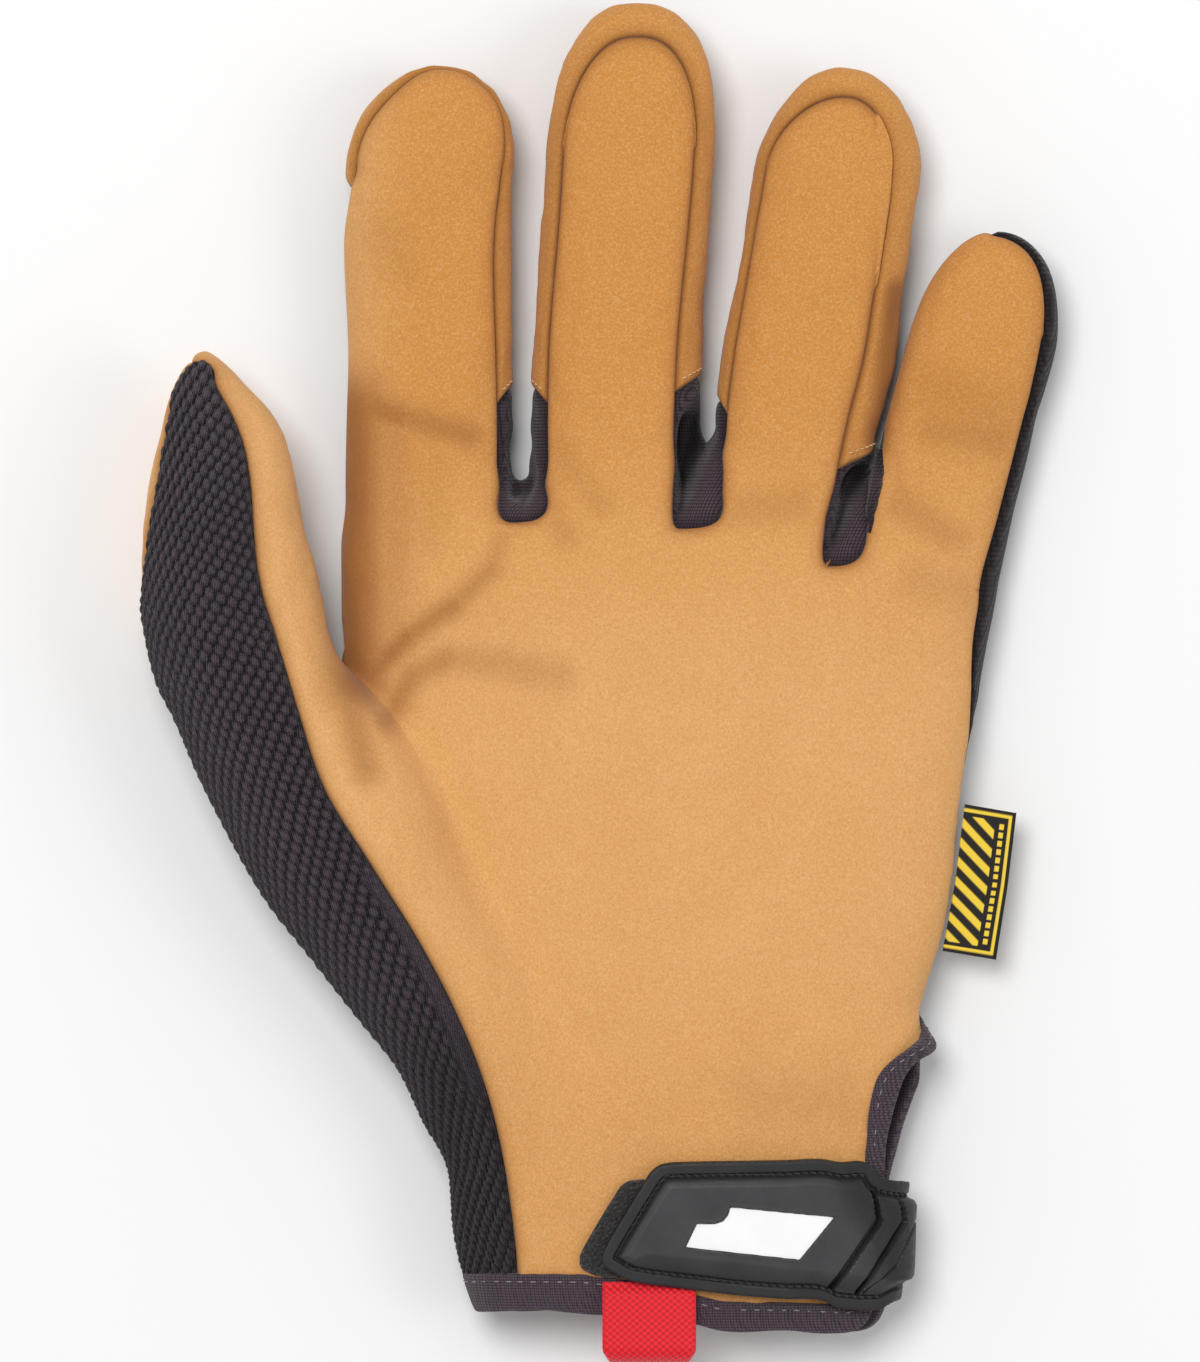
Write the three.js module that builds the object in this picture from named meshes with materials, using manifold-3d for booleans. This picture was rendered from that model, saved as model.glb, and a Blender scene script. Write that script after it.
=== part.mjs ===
// Mechanic glove for the left hand, lying on its back with the palm up.
// Millimetres. Fingers point along +Y, the thumb lies towards -X, and the back of the hand rests on z = 0.
// The body is a soft hollow shape: one field describes its outer skin, and each panel is a patch of that skin
// with a wall of its own thickness, stopped a little short of the seams.
import * as THREE from "three";
import Module from "manifold-3d";

const wasm = await Module();
wasm.setup();

// Driving dimensions
const LEATHER_WALL = 1.5;
const KNIT_WALL = 1.5;
const SEAM_GAP = 0.3;
const GUSSET_GAP = 1.2; // a gusset bends tightly, so its edges keep a little more room
const ACROSS = 6; // cells across a finger and across each fifth of the palm
const SIDE_CELLS = 3; // cells round the side of a finger
const BACK_INSET = 3.2; // how far the back seam lies inside the outline
const FINGER_ROOT = { y: 12, length: 34 }; // where a finger fades into the palm
const BLEND = 5; // width of the smooth joint between palm, fingers and thumb
const GUSSET_WALL = 1.2;
const CUFF_TAPE = { cuffWidth: 6, slitWidth: 3.6, over: 0.5, under: 1.9, bevel: 0.8, turn: 7 };
const STRAP = { liftOnPalm: 2.0, liftOnSide: 1.0, flange: 1.6, body: 3.1, fromAngle: 70, toAngle: -118 };
const WINDOW = { thickness: 0.65, sunk: 0.25, clearance: 0.3 };
const HOOK = { lift: 0.3, thickness: 1.3 };
const LOOP = { left: 0.6, right: 17.4, webbing: 1.4, bottom: -122.2, root: -109.4, insideEnd: -109 };
const LOOP_CLEARANCE = { over: 0.5, under: 1.1 };
const LABEL = { thickness: 1.0, height: 10.4 };

// A short table whose first column is the place, read between its rows along a smooth curve without overshoot
class Table {
  constructor(columns, rows) {
    this.rows = rows;
    this.column = Object.fromEntries(columns.map((name, i) => [name, i]));
  }

  at(name, place) {
    const rows = this.rows;
    const c = this.column[name];
    const last = rows.length - 1;
    if (place <= rows[0][0]) return rows[0][c];
    if (place >= rows[last][0]) return rows[last][c];
    let i = 0;
    while (place > rows[i + 1][0]) i += 1;
    const step = rows[i + 1][0] - rows[i][0];
    const t = (place - rows[i][0]) / step;
    const m0 = this.slope(c, i) * step;
    const m1 = this.slope(c, i + 1) * step;
    const t2 = t * t;
    const t3 = t2 * t;
    const ends = (2 * t3 - 3 * t2 + 1) * rows[i][c] + (3 * t2 - 2 * t3) * rows[i + 1][c];
    return ends + (t3 - 2 * t2 + t) * m0 + (t3 - t2) * m1;
  }

  slope(c, i) {
    const rows = this.rows;
    if (i === 0 || i === rows.length - 1) return 0;
    const before = (rows[i][c] - rows[i - 1][c]) / (rows[i][0] - rows[i - 1][0]);
    const after = (rows[i + 1][c] - rows[i][c]) / (rows[i + 1][0] - rows[i][0]);
    if (before * after <= 0) return 0;
    return (2 * before * after) / (before + after);
  }
}

// A list of rows as objects whose keys are the columns' names
function named(columns, rows) {
  return rows.map((row) => Object.fromEntries(columns.map((name, i) => [name, row[i]])));
}

// Outline of the palm without fingers and thumb: x of both sides, and the heights of its top and underside
const PALM = new Table(
  ["y", "left", "right", "top", "under"],
  [
    [-122, -20.5, 48.5, 19.5, 4.4],
    [-112, -21.6, 51.0, 20.5, 4.4],
    [-104, -24.6, 51.8, 21.5, 4.3],
    [-96, -25.9, 52.0, 22.5, 4.2],
    [-88, -25.6, 53.0, 23.5, 3.8],
    [-80, -24.5, 54.6, 24.5, 2.4],
    [-71, -23.6, 58.0, 25.0, 0.4],
    [-65, -24.5, 59.6, 25.2, -0.6],
    [-60, -26.0, 57.6, 25.2, -1.4],
    [-52, -28.6, 60.0, 25.0, -1.5],
    [-40, -33.0, 63.0, 24.6, -1.5],
    [-23, -39.0, 64.8, 23.6, -1.5],
    [-7, -43.0, 66.4, 22.8, -1.5],
    [8, -44.6, 67.6, 22.4, -1.4],
    [24, -44.8, 69.6, 21.4, -1.2],
    [44, -44.6, 71.0, 19.6, -0.8],
  ],
);

// Where the palm ends between two fingers: the web starts to slope at start and closes at end
const WEBS = new Table(
  ["x", "start", "end"],
  [
    [-46, 24, 38],
    [-12.8, 24, 36.7],
    [3, 25, 40],
    [19.4, 24, 42.3],
    [34, 19, 36],
    [47, 15, 29.5],
    [70, 12, 24],
  ],
);

// Each finger: x of both sides at places along it, the height of its middle at root and tip,
// half its thickness, and how far the seams of the palm side lie inside its outline
const FINGERS = [
  {
    name: "index",
    tip: 110.9,
    shoulder: 92.9,
    pointed: 2.0,
    half: 8.8,
    middle: [8.2, 12.6],
    cut: { left: 92, right: 50 },
    sides: new Table(
      ["y", "left", "right"],
      [
        [14, -45.6, -17.2],
        [36, -45.7, -16.0],
        [47, -45.5, -15.6],
        [58, -45.2, -15.5],
        [79, -46.0, -15.7],
        [96, -45.4, -15.1],
        [111, -43.8, -13.8],
      ],
    ),
    inset: new Table(
      ["place", "inset"],
      [
        [0, 0],
        [0.76, 0.1],
        [1, 1.6],
        [1.25, 1.7],
        [1.5, 0.2],
        [1.8, 0.4],
        [2, 1.6],
        [2.3, 2.8],
        [3, 1.8],
      ],
    ),
  },
  {
    name: "middle",
    tip: 122.2,
    shoulder: 95.6,
    pointed: 2.3,
    half: 9.0,
    middle: [8.4, 13.2],
    cut: { left: 50, right: 52 },
    sides: new Table(
      ["y", "left", "right"],
      [
        [14, -11.0, 17.5],
        [36, -12.2, 18.2],
        [47, -12.4, 18.4],
        [58, -12.2, 18.5],
        [69, -11.5, 19.1],
        [79, -10.6, 19.8],
        [96, -9.5, 20.9],
        [122, -8.2, 22.2],
      ],
    ),
    inset: new Table(
      ["place", "inset"],
      [
        [0, 2.6],
        [1, 2.7],
        [1.5, 6.0],
        [2, 3.2],
        [2.5, 4.0],
        [3, 4.8],
      ],
    ),
  },
  {
    name: "ring",
    tip: 110.4,
    shoulder: 92.5,
    pointed: 2.0,
    half: 8.8,
    middle: [8.4, 12.8],
    cut: { left: 48, right: 38 },
    sides: new Table(
      ["y", "left", "right"],
      [
        [14, 20.3, 45.6],
        [29, 20.2, 46.5],
        [36, 20.3, 48.4],
        [47, 20.7, 50.6],
        [58, 22.1, 53.3],
        [69, 24.1, 54.9],
        [79, 25.9, 56.3],
        [90, 27.7, 57.6],
        [96, 28.6, 57.8],
        [110, 30.4, 58.0],
      ],
    ),
    inset: new Table(
      ["place", "inset"],
      [
        [0, 2.0],
        [0.8, 1.4],
        [1, 1.6],
        [1.5, 4.9],
        [2, 4.9],
        [2.5, 5.3],
        [3, 5.8],
      ],
    ),
  },
  {
    name: "little",
    tip: 81.2,
    shoulder: 61.8,
    pointed: 2.0,
    half: 8.0,
    middle: [8.0, 11.8],
    cut: { left: 44, right: 44 },
    sides: new Table(
      ["y", "left", "right"],
      [
        [0, 41.0, 68.6],
        [14.6, 43.2, 71.5],
        [25.4, 45.8, 73.8],
        [36, 48.8, 76.1],
        [47, 51.5, 78.8],
        [52, 52.9, 80.3],
        [61, 55.4, 82.4],
        [68, 57.0, 83.4],
        [81, 58.6, 85.0],
      ],
    ),
    inset: new Table(
      ["place", "inset"],
      [
        [0, 2.4],
        [0.2, 1.7],
        [0.5, 0.4],
        [1, 0.1],
        [1.4, 0.1],
        [1.6, 1.0],
        [2, 2.5],
        [2.4, 2.0],
        [2.7, 2.4],
        [3, 3.2],
      ],
    ),
  },
];

// The thumb and the ball below it: x of both sides, height of the middle and half the depth
const THUMB = {
  tip: 59.2,
  shoulder: 30,
  pointed: 1.7,
  shape: new Table(
    ["y", "left", "right", "middle", "half"],
    [
      [-118, -24.0, 14.0, 12.4, 7.6],
      [-104, -25.4, 16.0, 12.8, 8.4],
      [-90, -26.4, 16.0, 13.2, 9.6],
      [-80, -31.2, 11.0, 14.0, 10.6],
      [-70, -36.0, 3.0, 15.0, 11.6],
      [-61, -43.0, -5.0, 15.8, 12.6],
      [-50, -51.6, -13.0, 16.6, 13.8],
      [-39, -60.1, -20.4, 17.2, 14.6],
      [-23, -69.0, -27.8, 17.6, 14.8],
      [-16, -72.4, -31.4, 17.6, 14.6],
      [-7, -76.2, -37.0, 17.6, 14.2],
      [0, -79.4, -41.6, 17.6, 13.8],
      [7, -81.4, -47.8, 17.6, 13.4],
      [15, -82.5, -50.2, 17.8, 13.0],
      [25, -82.3, -52.2, 18.2, 12.4],
      [36, -81.0, -54.0, 18.6, 11.8],
      [59, -82.0, -57.0, 18.6, 11.4],
    ],
  ),
};

// Folds pressed into the palm side, each a line from one place to the next with a width and a depth
const FOLDS = named(
  ["x0", "y0", "x1", "y1", "width", "depth"],
  [
    [-41, -1, -33, 7, 3.2, 1.8],
    [-33, 7, -24, 13, 3.4, 1.6],
    [-24, 13, -18, 24, 3.6, 0.9],
    [-38, -7, -33, 1, 3.0, 1.2],
    [-33, 1, -17, 3, 3.8, 1.3],
    [-45, 51, -23, 44, 3.4, 1.2],
    [22, 31, 36, 32, 4.0, 0.6],
    [60, 45, 72, 43, 3.6, 0.6],
    [-45, 2, -40, -17, 3.0, 0.9],
  ],
);
const FOLD_FADE = { from: 10, to: 16 }; // heights between which the folds fade in

// Seams on the palm side, as x for each y
const KNIT_SEAM = new Table(
  ["y", "x"],
  [
    [-107, -14.9],
    [-97, -15.7],
    [-89, -16.9],
    [-80, -18.6],
    [-71, -21.2],
    [-63, -23.9],
    [-54, -28.4],
    [-44, -33.6],
    [-38, -37.4],
    [-31, -41.9],
    [-22, -47.7],
    [-13, -51.5],
    [-4, -54.0],
    [7, -57.2],
    [18, -60.5],
    [26, -61.4],
    [36, -62.1],
    [45, -64.1],
    [50, -66.6],
    [55.6, -69.0],
  ],
);
const THUMB_CREASE = new Table(
  ["y", "x"],
  [
    [-107, -3],
    [-75, -12],
    [-48, -18.4],
    [-23, -28.0],
    [-16, -31.8],
    [-7, -37.2],
    [0, -41.2],
    [5.2, -45.9],
  ],
);
const OUTER_SEAM = new Table(
  ["y", "x"],
  [
    [-112, 45.5],
    [-104, 47.8],
    [-96, 48.4],
    [-86, 48.8],
    [-82, 49.0],
    [-77, 49.7],
    [-72, 50.6],
    [-67, 52.4],
    [-64, 54.2],
    [-60.7, 57.3],
    [-50, 60.5],
    [-36, 63.5],
    [-20, 65.0],
    [-7, 66.0],
    [8, 67.4],
    [16.5, 69.0],
  ],
);

// Rows of the palm: y of each boundary between its fifths, from the cuff to the roots of the fingers
const PALM_ROWS = new Table(
  ["row", "knit", "crease", "web1", "web2", "web3", "outer"],
  [
    [0, -106.4, -107, -108.3, -110, -111.5, -112],
    [6, -58, -58, -58.5, -59, -60, -60.7],
    [11, 6, 5.2, 5, 4, 2, 0],
    [14, 30, 30, 28.8, 27.5, 20.7, 16.5],
  ],
);
const SLIT_ROW = 6;
const THUMB_ROW = 11;
const LAST_ROW = 14;
const WEB_X = {
  web1: [8, -15.5],
  web2: [22, 14.6],
  web3: [36, 41.6],
};
const SHAFT = { toCut: 3, toShoulder: 8, arch: 2 };

const vec = (x, y, z) => new THREE.Vector3(x, y, z);
const mix = (a, b, t) => a + (b - a) * t;
const power = (v, p) => Math.pow(Math.abs(v), p);

// Smooth union of two fields over a width
function blend(a, b, width) {
  const h = Math.max(width - Math.abs(a - b), 0) / width;
  return Math.min(a, b) - (h * h * width) / 4;
}

// Distance, in millimetres, from an oval section with half sizes a and b that closes over a length
function ovalDistance(dx, dz, a, b, squareness, t, length, pointed) {
  const across = Math.abs(dx) / a;
  const up = Math.abs(dz) / b;
  const round = Math.max(Math.pow(power(across, squareness) + power(up, squareness), 1 / squareness), 1e-6);
  const whole = Math.pow(power(round, pointed) + power(t, pointed), 1 / pointed);
  const inPlane = power(round / whole, pointed - 1);
  const slope = Math.hypot(
    (inPlane * power(across / round, squareness - 1)) / a,
    (inPlane * power(up / round, squareness - 1)) / b,
    power(t / whole, pointed - 1) / length,
  );
  return (whole - 1) / Math.max(slope, 0.5 / Math.max(a, b));
}

function palmField(x, y, z) {
  const left = PALM.at("left", y);
  const right = PALM.at("right", y);
  const top = PALM.at("top", y);
  const under = PALM.at("under", y);
  const start = WEBS.at("start", x);
  const length = WEBS.at("end", x) - start;
  const beyond = Math.max(0, y - start) / length;
  const dx = x - (left + right) / 2;
  const dz = z - (top + under) / 2;
  return ovalDistance(dx, dz, (right - left) / 2, (top - under) / 2, 2.4, beyond, length, 2);
}

function fingerMiddle(finger, y) {
  const t = THREE.MathUtils.clamp((y - 20) / (finger.tip - 20), 0, 1);
  return mix(finger.middle[0], finger.middle[1], t * t);
}

function fingerField(finger, x, y, z) {
  const left = finger.sides.at("left", y);
  const right = finger.sides.at("right", y);
  const dx = x - (left + right) / 2;
  const dz = z - fingerMiddle(finger, y);
  const length = y > finger.shoulder ? finger.tip - finger.shoulder : FINGER_ROOT.length;
  const beyond = Math.max(0, y - finger.shoulder, FINGER_ROOT.y - y) / length;
  return ovalDistance(dx, dz, (right - left) / 2, finger.half, 2.2, beyond, length, finger.pointed);
}

function thumbField(x, y, z) {
  const left = THUMB.shape.at("left", y);
  const right = THUMB.shape.at("right", y);
  const dz = z - THUMB.shape.at("middle", y);
  const length = THUMB.tip - THUMB.shoulder;
  const beyond = Math.max(0, y - THUMB.shoulder) / length;
  const half = THUMB.shape.at("half", y);
  return ovalDistance(x - (left + right) / 2, dz, (right - left) / 2, half, 2, beyond, length, THUMB.pointed);
}

// Depth of the folds at a place of the palm side
function foldDepth(x, y) {
  let depth = 0;
  for (const fold of FOLDS) {
    const [dx, dy] = [fold.x1 - fold.x0, fold.y1 - fold.y0];
    const share = ((x - fold.x0) * dx + (y - fold.y0) * dy) / (dx * dx + dy * dy);
    const along = THREE.MathUtils.clamp(share, 0, 1);
    const away = Math.hypot(x - fold.x0 - dx * along, y - fold.y0 - dy * along) / fold.width;
    depth = Math.max(depth, fold.depth * Math.exp(-away * away));
  }
  return depth;
}

// The glove's outer skin is where this field is zero; it is negative inside
function body(x, y, z) {
  const palm = palmField(x, y, z);
  let field = blend(palm, thumbField(x, y, z), BLEND);
  for (const finger of FINGERS) {
    field = Math.min(field, blend(palm, fingerField(finger, x, y, z), BLEND));
  }
  field += foldDepth(x, y) * THREE.MathUtils.smoothstep(z, FOLD_FADE.from, FOLD_FADE.to);
  return Math.max(field, -z);
}

function gradient(p) {
  const h = 0.15;
  return vec(
    body(p.x + h, p.y, p.z) - body(p.x - h, p.y, p.z),
    body(p.x, p.y + h, p.z) - body(p.x, p.y - h, p.z),
    body(p.x, p.y, p.z + h) - body(p.x, p.y, p.z - h),
  ).divideScalar(2 * h);
}

// The place on the skin near a guess
function onSkin(guess) {
  const p = guess.clone();
  for (let i = 0; i < 14; i += 1) {
    const slope = gradient(p);
    const step = body(p.x, p.y, p.z) / Math.max(slope.lengthSq(), 0.05);
    p.addScaledVector(slope, THREE.MathUtils.clamp(-step, -3, 3));
  }
  return p;
}

// First place on the skin along a line from start towards a direction, coming from outside
function firstHit(start, direction, reach) {
  const stepLength = 0.8;
  for (let s = stepLength; s < reach; s += stepLength) {
    const p = start.clone().addScaledVector(direction, s);
    if (body(p.x, p.y, p.z) > 0) continue;
    let outside = s - stepLength;
    let inside = s;
    for (let i = 0; i < 18; i += 1) {
      const half = (outside + inside) / 2;
      const q = start.clone().addScaledVector(direction, half);
      if (body(q.x, q.y, q.z) > 0) outside = half;
      else inside = half;
    }
    return start.clone().addScaledVector(direction, inside);
  }
  return null;
}

const topOf = (x, y) => firstHit(vec(x, y, 50), vec(0, 0, -1), 50) ?? onSkin(vec(x, y, 12));
const underOf = (x, y) => firstHit(vec(x, y, -0.9), vec(0, 0, 1), 40) ?? onSkin(vec(x, y, 8));
const leftOf = (y, z) => firstHit(vec(-95, y, z), vec(1, 0, 0), 90);

// A smooth line over the skin through guide places, as count + 1 evenly spaced points
function lineOver(guides, count) {
  const curve = new THREE.CatmullRomCurve3(guides, false, "centripetal");
  return Array.from({ length: count + 1 }, (_, i) => {
    if (i === 0) return guides[0].clone();
    if (i === count) return guides[guides.length - 1].clone();
    return onSkin(curve.getPointAt(i / count));
  });
}

// Share of the way across a panel for cell i, crowded towards a side where the skin turns down
function spread(i, steepLeft, steepRight) {
  const from = Math.PI * (steepLeft ? 1 : 0.75);
  const to = Math.PI * (steepRight ? 0 : 0.25);
  const angle = mix(from, to, i / ACROSS);
  return (Math.cos(from) - Math.cos(angle)) / (Math.cos(from) - Math.cos(to));
}

// One row of a panel between two seam places, following the skin seen from above or from below
function rowBetween(left, right, look, steepLeft, steepRight) {
  return Array.from({ length: ACROSS + 1 }, (_, i) => {
    if (i === 0) return left.clone();
    if (i === ACROSS) return right.clone();
    const t = spread(i, steepLeft, steepRight);
    return look(mix(left.x, right.x, t), mix(left.y, right.y, t));
  });
}

// Outline of a finger in plan: place 0 to 1 up its left side, 1 to 2 over the tip, 2 to 3 down the right side
function fingerOutline(finger, place, yRight, yLeft) {
  const middleOf = (y) => (finger.sides.at("left", y) + finger.sides.at("right", y)) / 2;
  const halfOf = (y) => (finger.sides.at("right", y) - finger.sides.at("left", y)) / 2;
  if (place <= 1 || place >= 2) {
    const side = place <= 1 ? -1 : 1;
    const y = place <= 1 ? yLeft : yRight;
    return { x: middleOf(y) + side * halfOf(y), y, inward: [-side, 0] };
  }
  const angle = Math.PI * (2 - place);
  const e = 2 / finger.pointed;
  const y = finger.shoulder + (finger.tip - finger.shoulder) * power(Math.sin(angle), e);
  const x = middleOf(y) + halfOf(y) * Math.sign(Math.cos(angle)) * power(Math.cos(angle), e);
  return { x, y, inward: [-Math.cos(angle), -Math.sin(angle)] };
}

// A seam place a little inside the outline, on the palm side (+1) or on the back (-1)
function seamPlace(finger, outline, inset, side) {
  const x = outline.x + outline.inward[0] * inset;
  const y = outline.y + outline.inward[1] * inset;
  const middle = fingerMiddle(finger, outline.y);
  const share = 1 - Math.min(inset / 12, 1);
  const rise = finger.half * Math.sqrt(Math.max(0, 1 - share * share));
  return onSkin(vec(x, y, middle + side * rise));
}

// y of the rows up one side of a finger, from its root past the place where the side piece is cut
function shaftPlaces(root, cut, shoulder) {
  const places = [];
  for (let k = 0; k <= SHAFT.toShoulder; k += 1) {
    if (k <= SHAFT.toCut) places.push(mix(root, cut, k / SHAFT.toCut));
    else places.push(mix(cut, shoulder, (k - SHAFT.toCut) / (SHAFT.toShoulder - SHAFT.toCut)));
  }
  return places;
}

// One finger: the palm side and the back as rows, and its side as lines from the palm seam to the back seam
function buildFinger(finger, roots) {
  const straight = finger.shoulder - 5;
  const cutLeft = Math.min(finger.cut.left, mix(roots.left.y, straight, 0.8));
  const left = shaftPlaces(roots.left.y, cutLeft, straight);
  const right = shaftPlaces(roots.right.y, finger.cut.right, straight);
  const leftMiddle = shaftPlaces(roots.left.web, cutLeft + 2.5, straight);
  const rightMiddle = shaftPlaces(roots.right.web, finger.cut.right + 3, straight);
  const faces = { front: [], back: [] };
  for (const [name, side, look] of [
    ["front", 1, topOf],
    ["back", -1, underOf],
  ]) {
    const rows = faces[name];
    const insetAt = (place) => (side > 0 ? finger.inset.at("inset", place) : BACK_INSET);
    const shoulderShare = (y, root) => THREE.MathUtils.clamp((y - root) / (finger.shoulder - root), 0, 1);
    rows.push(roots[name]);
    for (let k = 1; k <= SHAFT.toShoulder; k += 1) {
      const leftPlace = shoulderShare(left[k], roots.left.y);
      const rightPlace = 3 - shoulderShare(right[k], roots.right.y);
      const a = fingerOutline(finger, leftPlace, left[k], left[k]);
      const b = fingerOutline(finger, rightPlace, right[k], right[k]);
      const from = seamPlace(finger, a, insetAt(leftPlace), side);
      const to = seamPlace(finger, b, insetAt(rightPlace), side);
      rows.push(rowBetween(from, to, look, insetAt(leftPlace) < 1, insetAt(rightPlace) < 1));
    }
    const arch = Array.from({ length: ACROSS + 1 }, (_, i) => {
      const place = 1 + i / ACROSS;
      const outline = fingerOutline(finger, place, finger.shoulder, finger.shoulder);
      return seamPlace(finger, outline, insetAt(place), side);
    });
    const last = rows[rows.length - 1];
    for (let m = 1; m < SHAFT.arch; m += 1) {
      const t = m / SHAFT.arch;
      rows.push(
        last.map((p, i) => {
          const x = mix(p.x, arch[i].x, t);
          const y = mix(p.y, arch[i].y, t);
          if (i > 0 && i < ACROSS) return look(x, y);
          return onSkin(p.clone().lerp(arch[i], t));
        }),
      );
    }
    rows.push(arch);
  }

  // Round the outline: up the left side, over the tip and down the right side
  const rim = (rows) => [
    ...rows.map((row) => row[0]),
    ...rows[rows.length - 1].slice(1, ACROSS),
    ...rows.map((row) => row[ACROSS]).reverse(),
  ];
  const front = rim(faces.front);
  const back = rim(faces.back);
  const climb = faces.front.length;
  const silhouette = front.map((p, i) => {
    const isLeft = i < climb;
    const isRight = i >= front.length - climb;
    const k = isLeft ? i : front.length - 1 - i;
    if (isLeft || isRight) {
      const root = isLeft ? roots.left : roots.right;
      if (k === 0) return root.side;
      const places = isLeft ? leftMiddle : rightMiddle;
      const pastShaft = Math.max(0, k - SHAFT.toShoulder) / SHAFT.arch;
      const y = pastShaft ? mix(straight, finger.shoulder, pastShaft) : places[k];
      const outline = fingerOutline(finger, isLeft ? 0 : 3, y, y);
      return onSkin(vec(outline.x, y, fingerMiddle(finger, y)));
    }
    const outline = fingerOutline(finger, 1 + (i - climb + 1) / ACROSS, 0, 0);
    return onSkin(vec(outline.x, outline.y, fingerMiddle(finger, outline.y)));
  });
  const side = front.map((p, i) => lineOver([p, silhouette[i], back[i]], SIDE_CELLS));
  return { ...faces, side, leftCut: SHAFT.toCut, rightCut: front.length - 1 - SHAFT.toCut };
}

// Rows of the palm and of the back of the hand, boundary by boundary
const BOUNDARIES = ["knit", "crease", "web1", "web2", "web3", "outer"];
const LOW = { knit: KNIT_SEAM, crease: THUMB_CREASE, outer: OUTER_SEAM };

function boundaryX(name, y, row) {
  if (name === "crease" && row > THUMB_ROW) return FINGERS[0].sides.at("left", y);
  if (LOW[name]) return LOW[name].at("x", y);
  const [atCuff, atRoot] = WEB_X[name];
  return mix(atCuff, atRoot, row / LAST_ROW);
}

// The crotch of the thumb, found from two places in the gap past it, and the middle height of the outer side
const saddleAbove = firstHit(vec(-46.4, 20, 16), vec(0, -1, 0), 60);
const saddleBelow = firstHit(vec(-47, 20, 9), vec(0, -1, 0), 60);
const OUTER_MIDDLE = 10;

function palmSeam(name, row) {
  const y = PALM_ROWS.at(name, row);
  const x = boundaryX(name, y, row);
  if (name === "crease" && row === THUMB_ROW) return saddleAbove;
  if (name === "crease" && row > THUMB_ROW) return onSkin(vec(x, y, 9));
  if (name === "outer" && row >= SLIT_ROW) {
    const inset = THREE.MathUtils.mapLinear(THREE.MathUtils.clamp(y, -14, 10), -14, 10, 0, 1);
    return onSkin(vec(x + 0.5, y, OUTER_MIDDLE + 4.5 * inset));
  }
  return topOf(x, y);
}

function backSeam(name, row) {
  const y = PALM_ROWS.at(name, row);
  if (name === "knit") {
    const side = leftOf(y, mix(THUMB.shape.at("middle", y), 11, 0.5));
    return underOf(side.x + 4.5, y);
  }
  if (name === "crease" && row === THUMB_ROW) return saddleBelow;
  if (name === "crease" && row > THUMB_ROW) return underOf(FINGERS[0].sides.at("left", y) + BACK_INSET, y);
  if (name === "outer") {
    const silhouette = firstHit(vec(95, y, OUTER_MIDDLE), vec(-1, 0, 0), 90);
    return underOf(silhouette.x - (row < SLIT_ROW ? 2.2 : BACK_INSET), y);
  }
  return underOf(boundaryX(name, y, row), y);
}

const columnRows = (seam, look, column, firstRow, lastRow) => {
  const rows = [];
  for (let row = firstRow; row <= lastRow; row += 1) {
    const left = seam(BOUNDARIES[column], row);
    const right = seam(BOUNDARIES[column + 1], row);
    const steepLeft = column === 1 && row > THUMB_ROW;
    const steepRight = column === 0 || (column === 4 && row >= SLIT_ROW);
    rows.push(rowBetween(left, right, look, steepLeft, steepRight));
  }
  return rows;
};
const palmColumns = BOUNDARIES.slice(1).map((_, c) =>
  columnRows(palmSeam, topOf, c, 0, c === 0 ? THUMB_ROW : LAST_ROW),
);
const backColumns = BOUNDARIES.slice(1).map((_, c) =>
  columnRows(backSeam, underOf, c, 0, c === 0 ? THUMB_ROW : LAST_ROW),
);

// Roots of the fingers: where the palm side, the web and the back meet before, between and after the fingers
const ROOTS = named(
  ["x", "web"],
  [
    [-45.7, 33],
    [-14.2, 36.7],
    [18.8, 42.3],
    [46.2, 29.5],
    [72.4, 20],
  ],
);
const roots = ROOTS.map(({ x, web }, i) => {
  const isOuter = i === FINGERS.length;
  const column = isOuter ? i : i + 1;
  const cell = isOuter ? ACROSS : 0;
  const [front, back] = [palmColumns, backColumns].map((columns) => columns[column][LAST_ROW][cell]);
  const side = onSkin(vec(x, i === 0 || isOuter ? front.y : web, 9));
  return { front, back, side, web, y: front.y };
});
const fingers = FINGERS.map((finger, i) =>
  buildFinger(finger, {
    left: roots[i],
    right: roots[i + 1],
    front: palmColumns[i + 1][LAST_ROW],
    back: backColumns[i + 1][LAST_ROW],
  }),
);

// The thumb above its crotch: rows that carry the knit seam, both sides and the seam below
const THUMB_ROWS = [9.5, 13.5, 19.5, 27, 34.5, 42, 48.5, 53.6];

// Angles round the thumb, in degrees from its inner side, of the lines that its panels pass over
const ROUND_THUMB = { inner: [30, 0], below: -38, outer: 110, farSeam: 156, under: [200, 262, -62] };

// End of the thumb: top of the knit, tip of the leather and end of the underside, with the last rows' heights
const THUMB_END = {
  knitTop: [-70.3, 56.2],
  knitTopHalf: [2.2, 0.9],
  tip: [-69.8, 18.6],
  tipUnder: [-69.6, 56.4, 15.5],
  lastInner: [57.4, 56.6],
  lastUnder: [57.4, 57, 56.6],
};
const onThumb = (y, degrees) => {
  const left = THUMB.shape.at("left", y);
  const right = THUMB.shape.at("right", y);
  const beyond = Math.max(0, (y - THUMB.shoulder) / (THUMB.tip - THUMB.shoulder));
  const p = THUMB.pointed;
  const close = Math.pow(Math.max(0, 1 - power(beyond, p)), 1 / p);
  const angle = THREE.MathUtils.degToRad(degrees);
  return onSkin(
    vec(
      (left + right) / 2 + ((right - left) / 2) * close * Math.cos(angle),
      y,
      THUMB.shape.at("middle", y) + THUMB.shape.at("half", y) * close * Math.sin(angle),
    ),
  );
};
const thumbTip = onSkin(vec(THUMB_END.tip[0], THUMB.tip + 0.6, THUMB_END.tip[1]));
const knitTop = topOf(...THUMB_END.knitTop);
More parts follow.
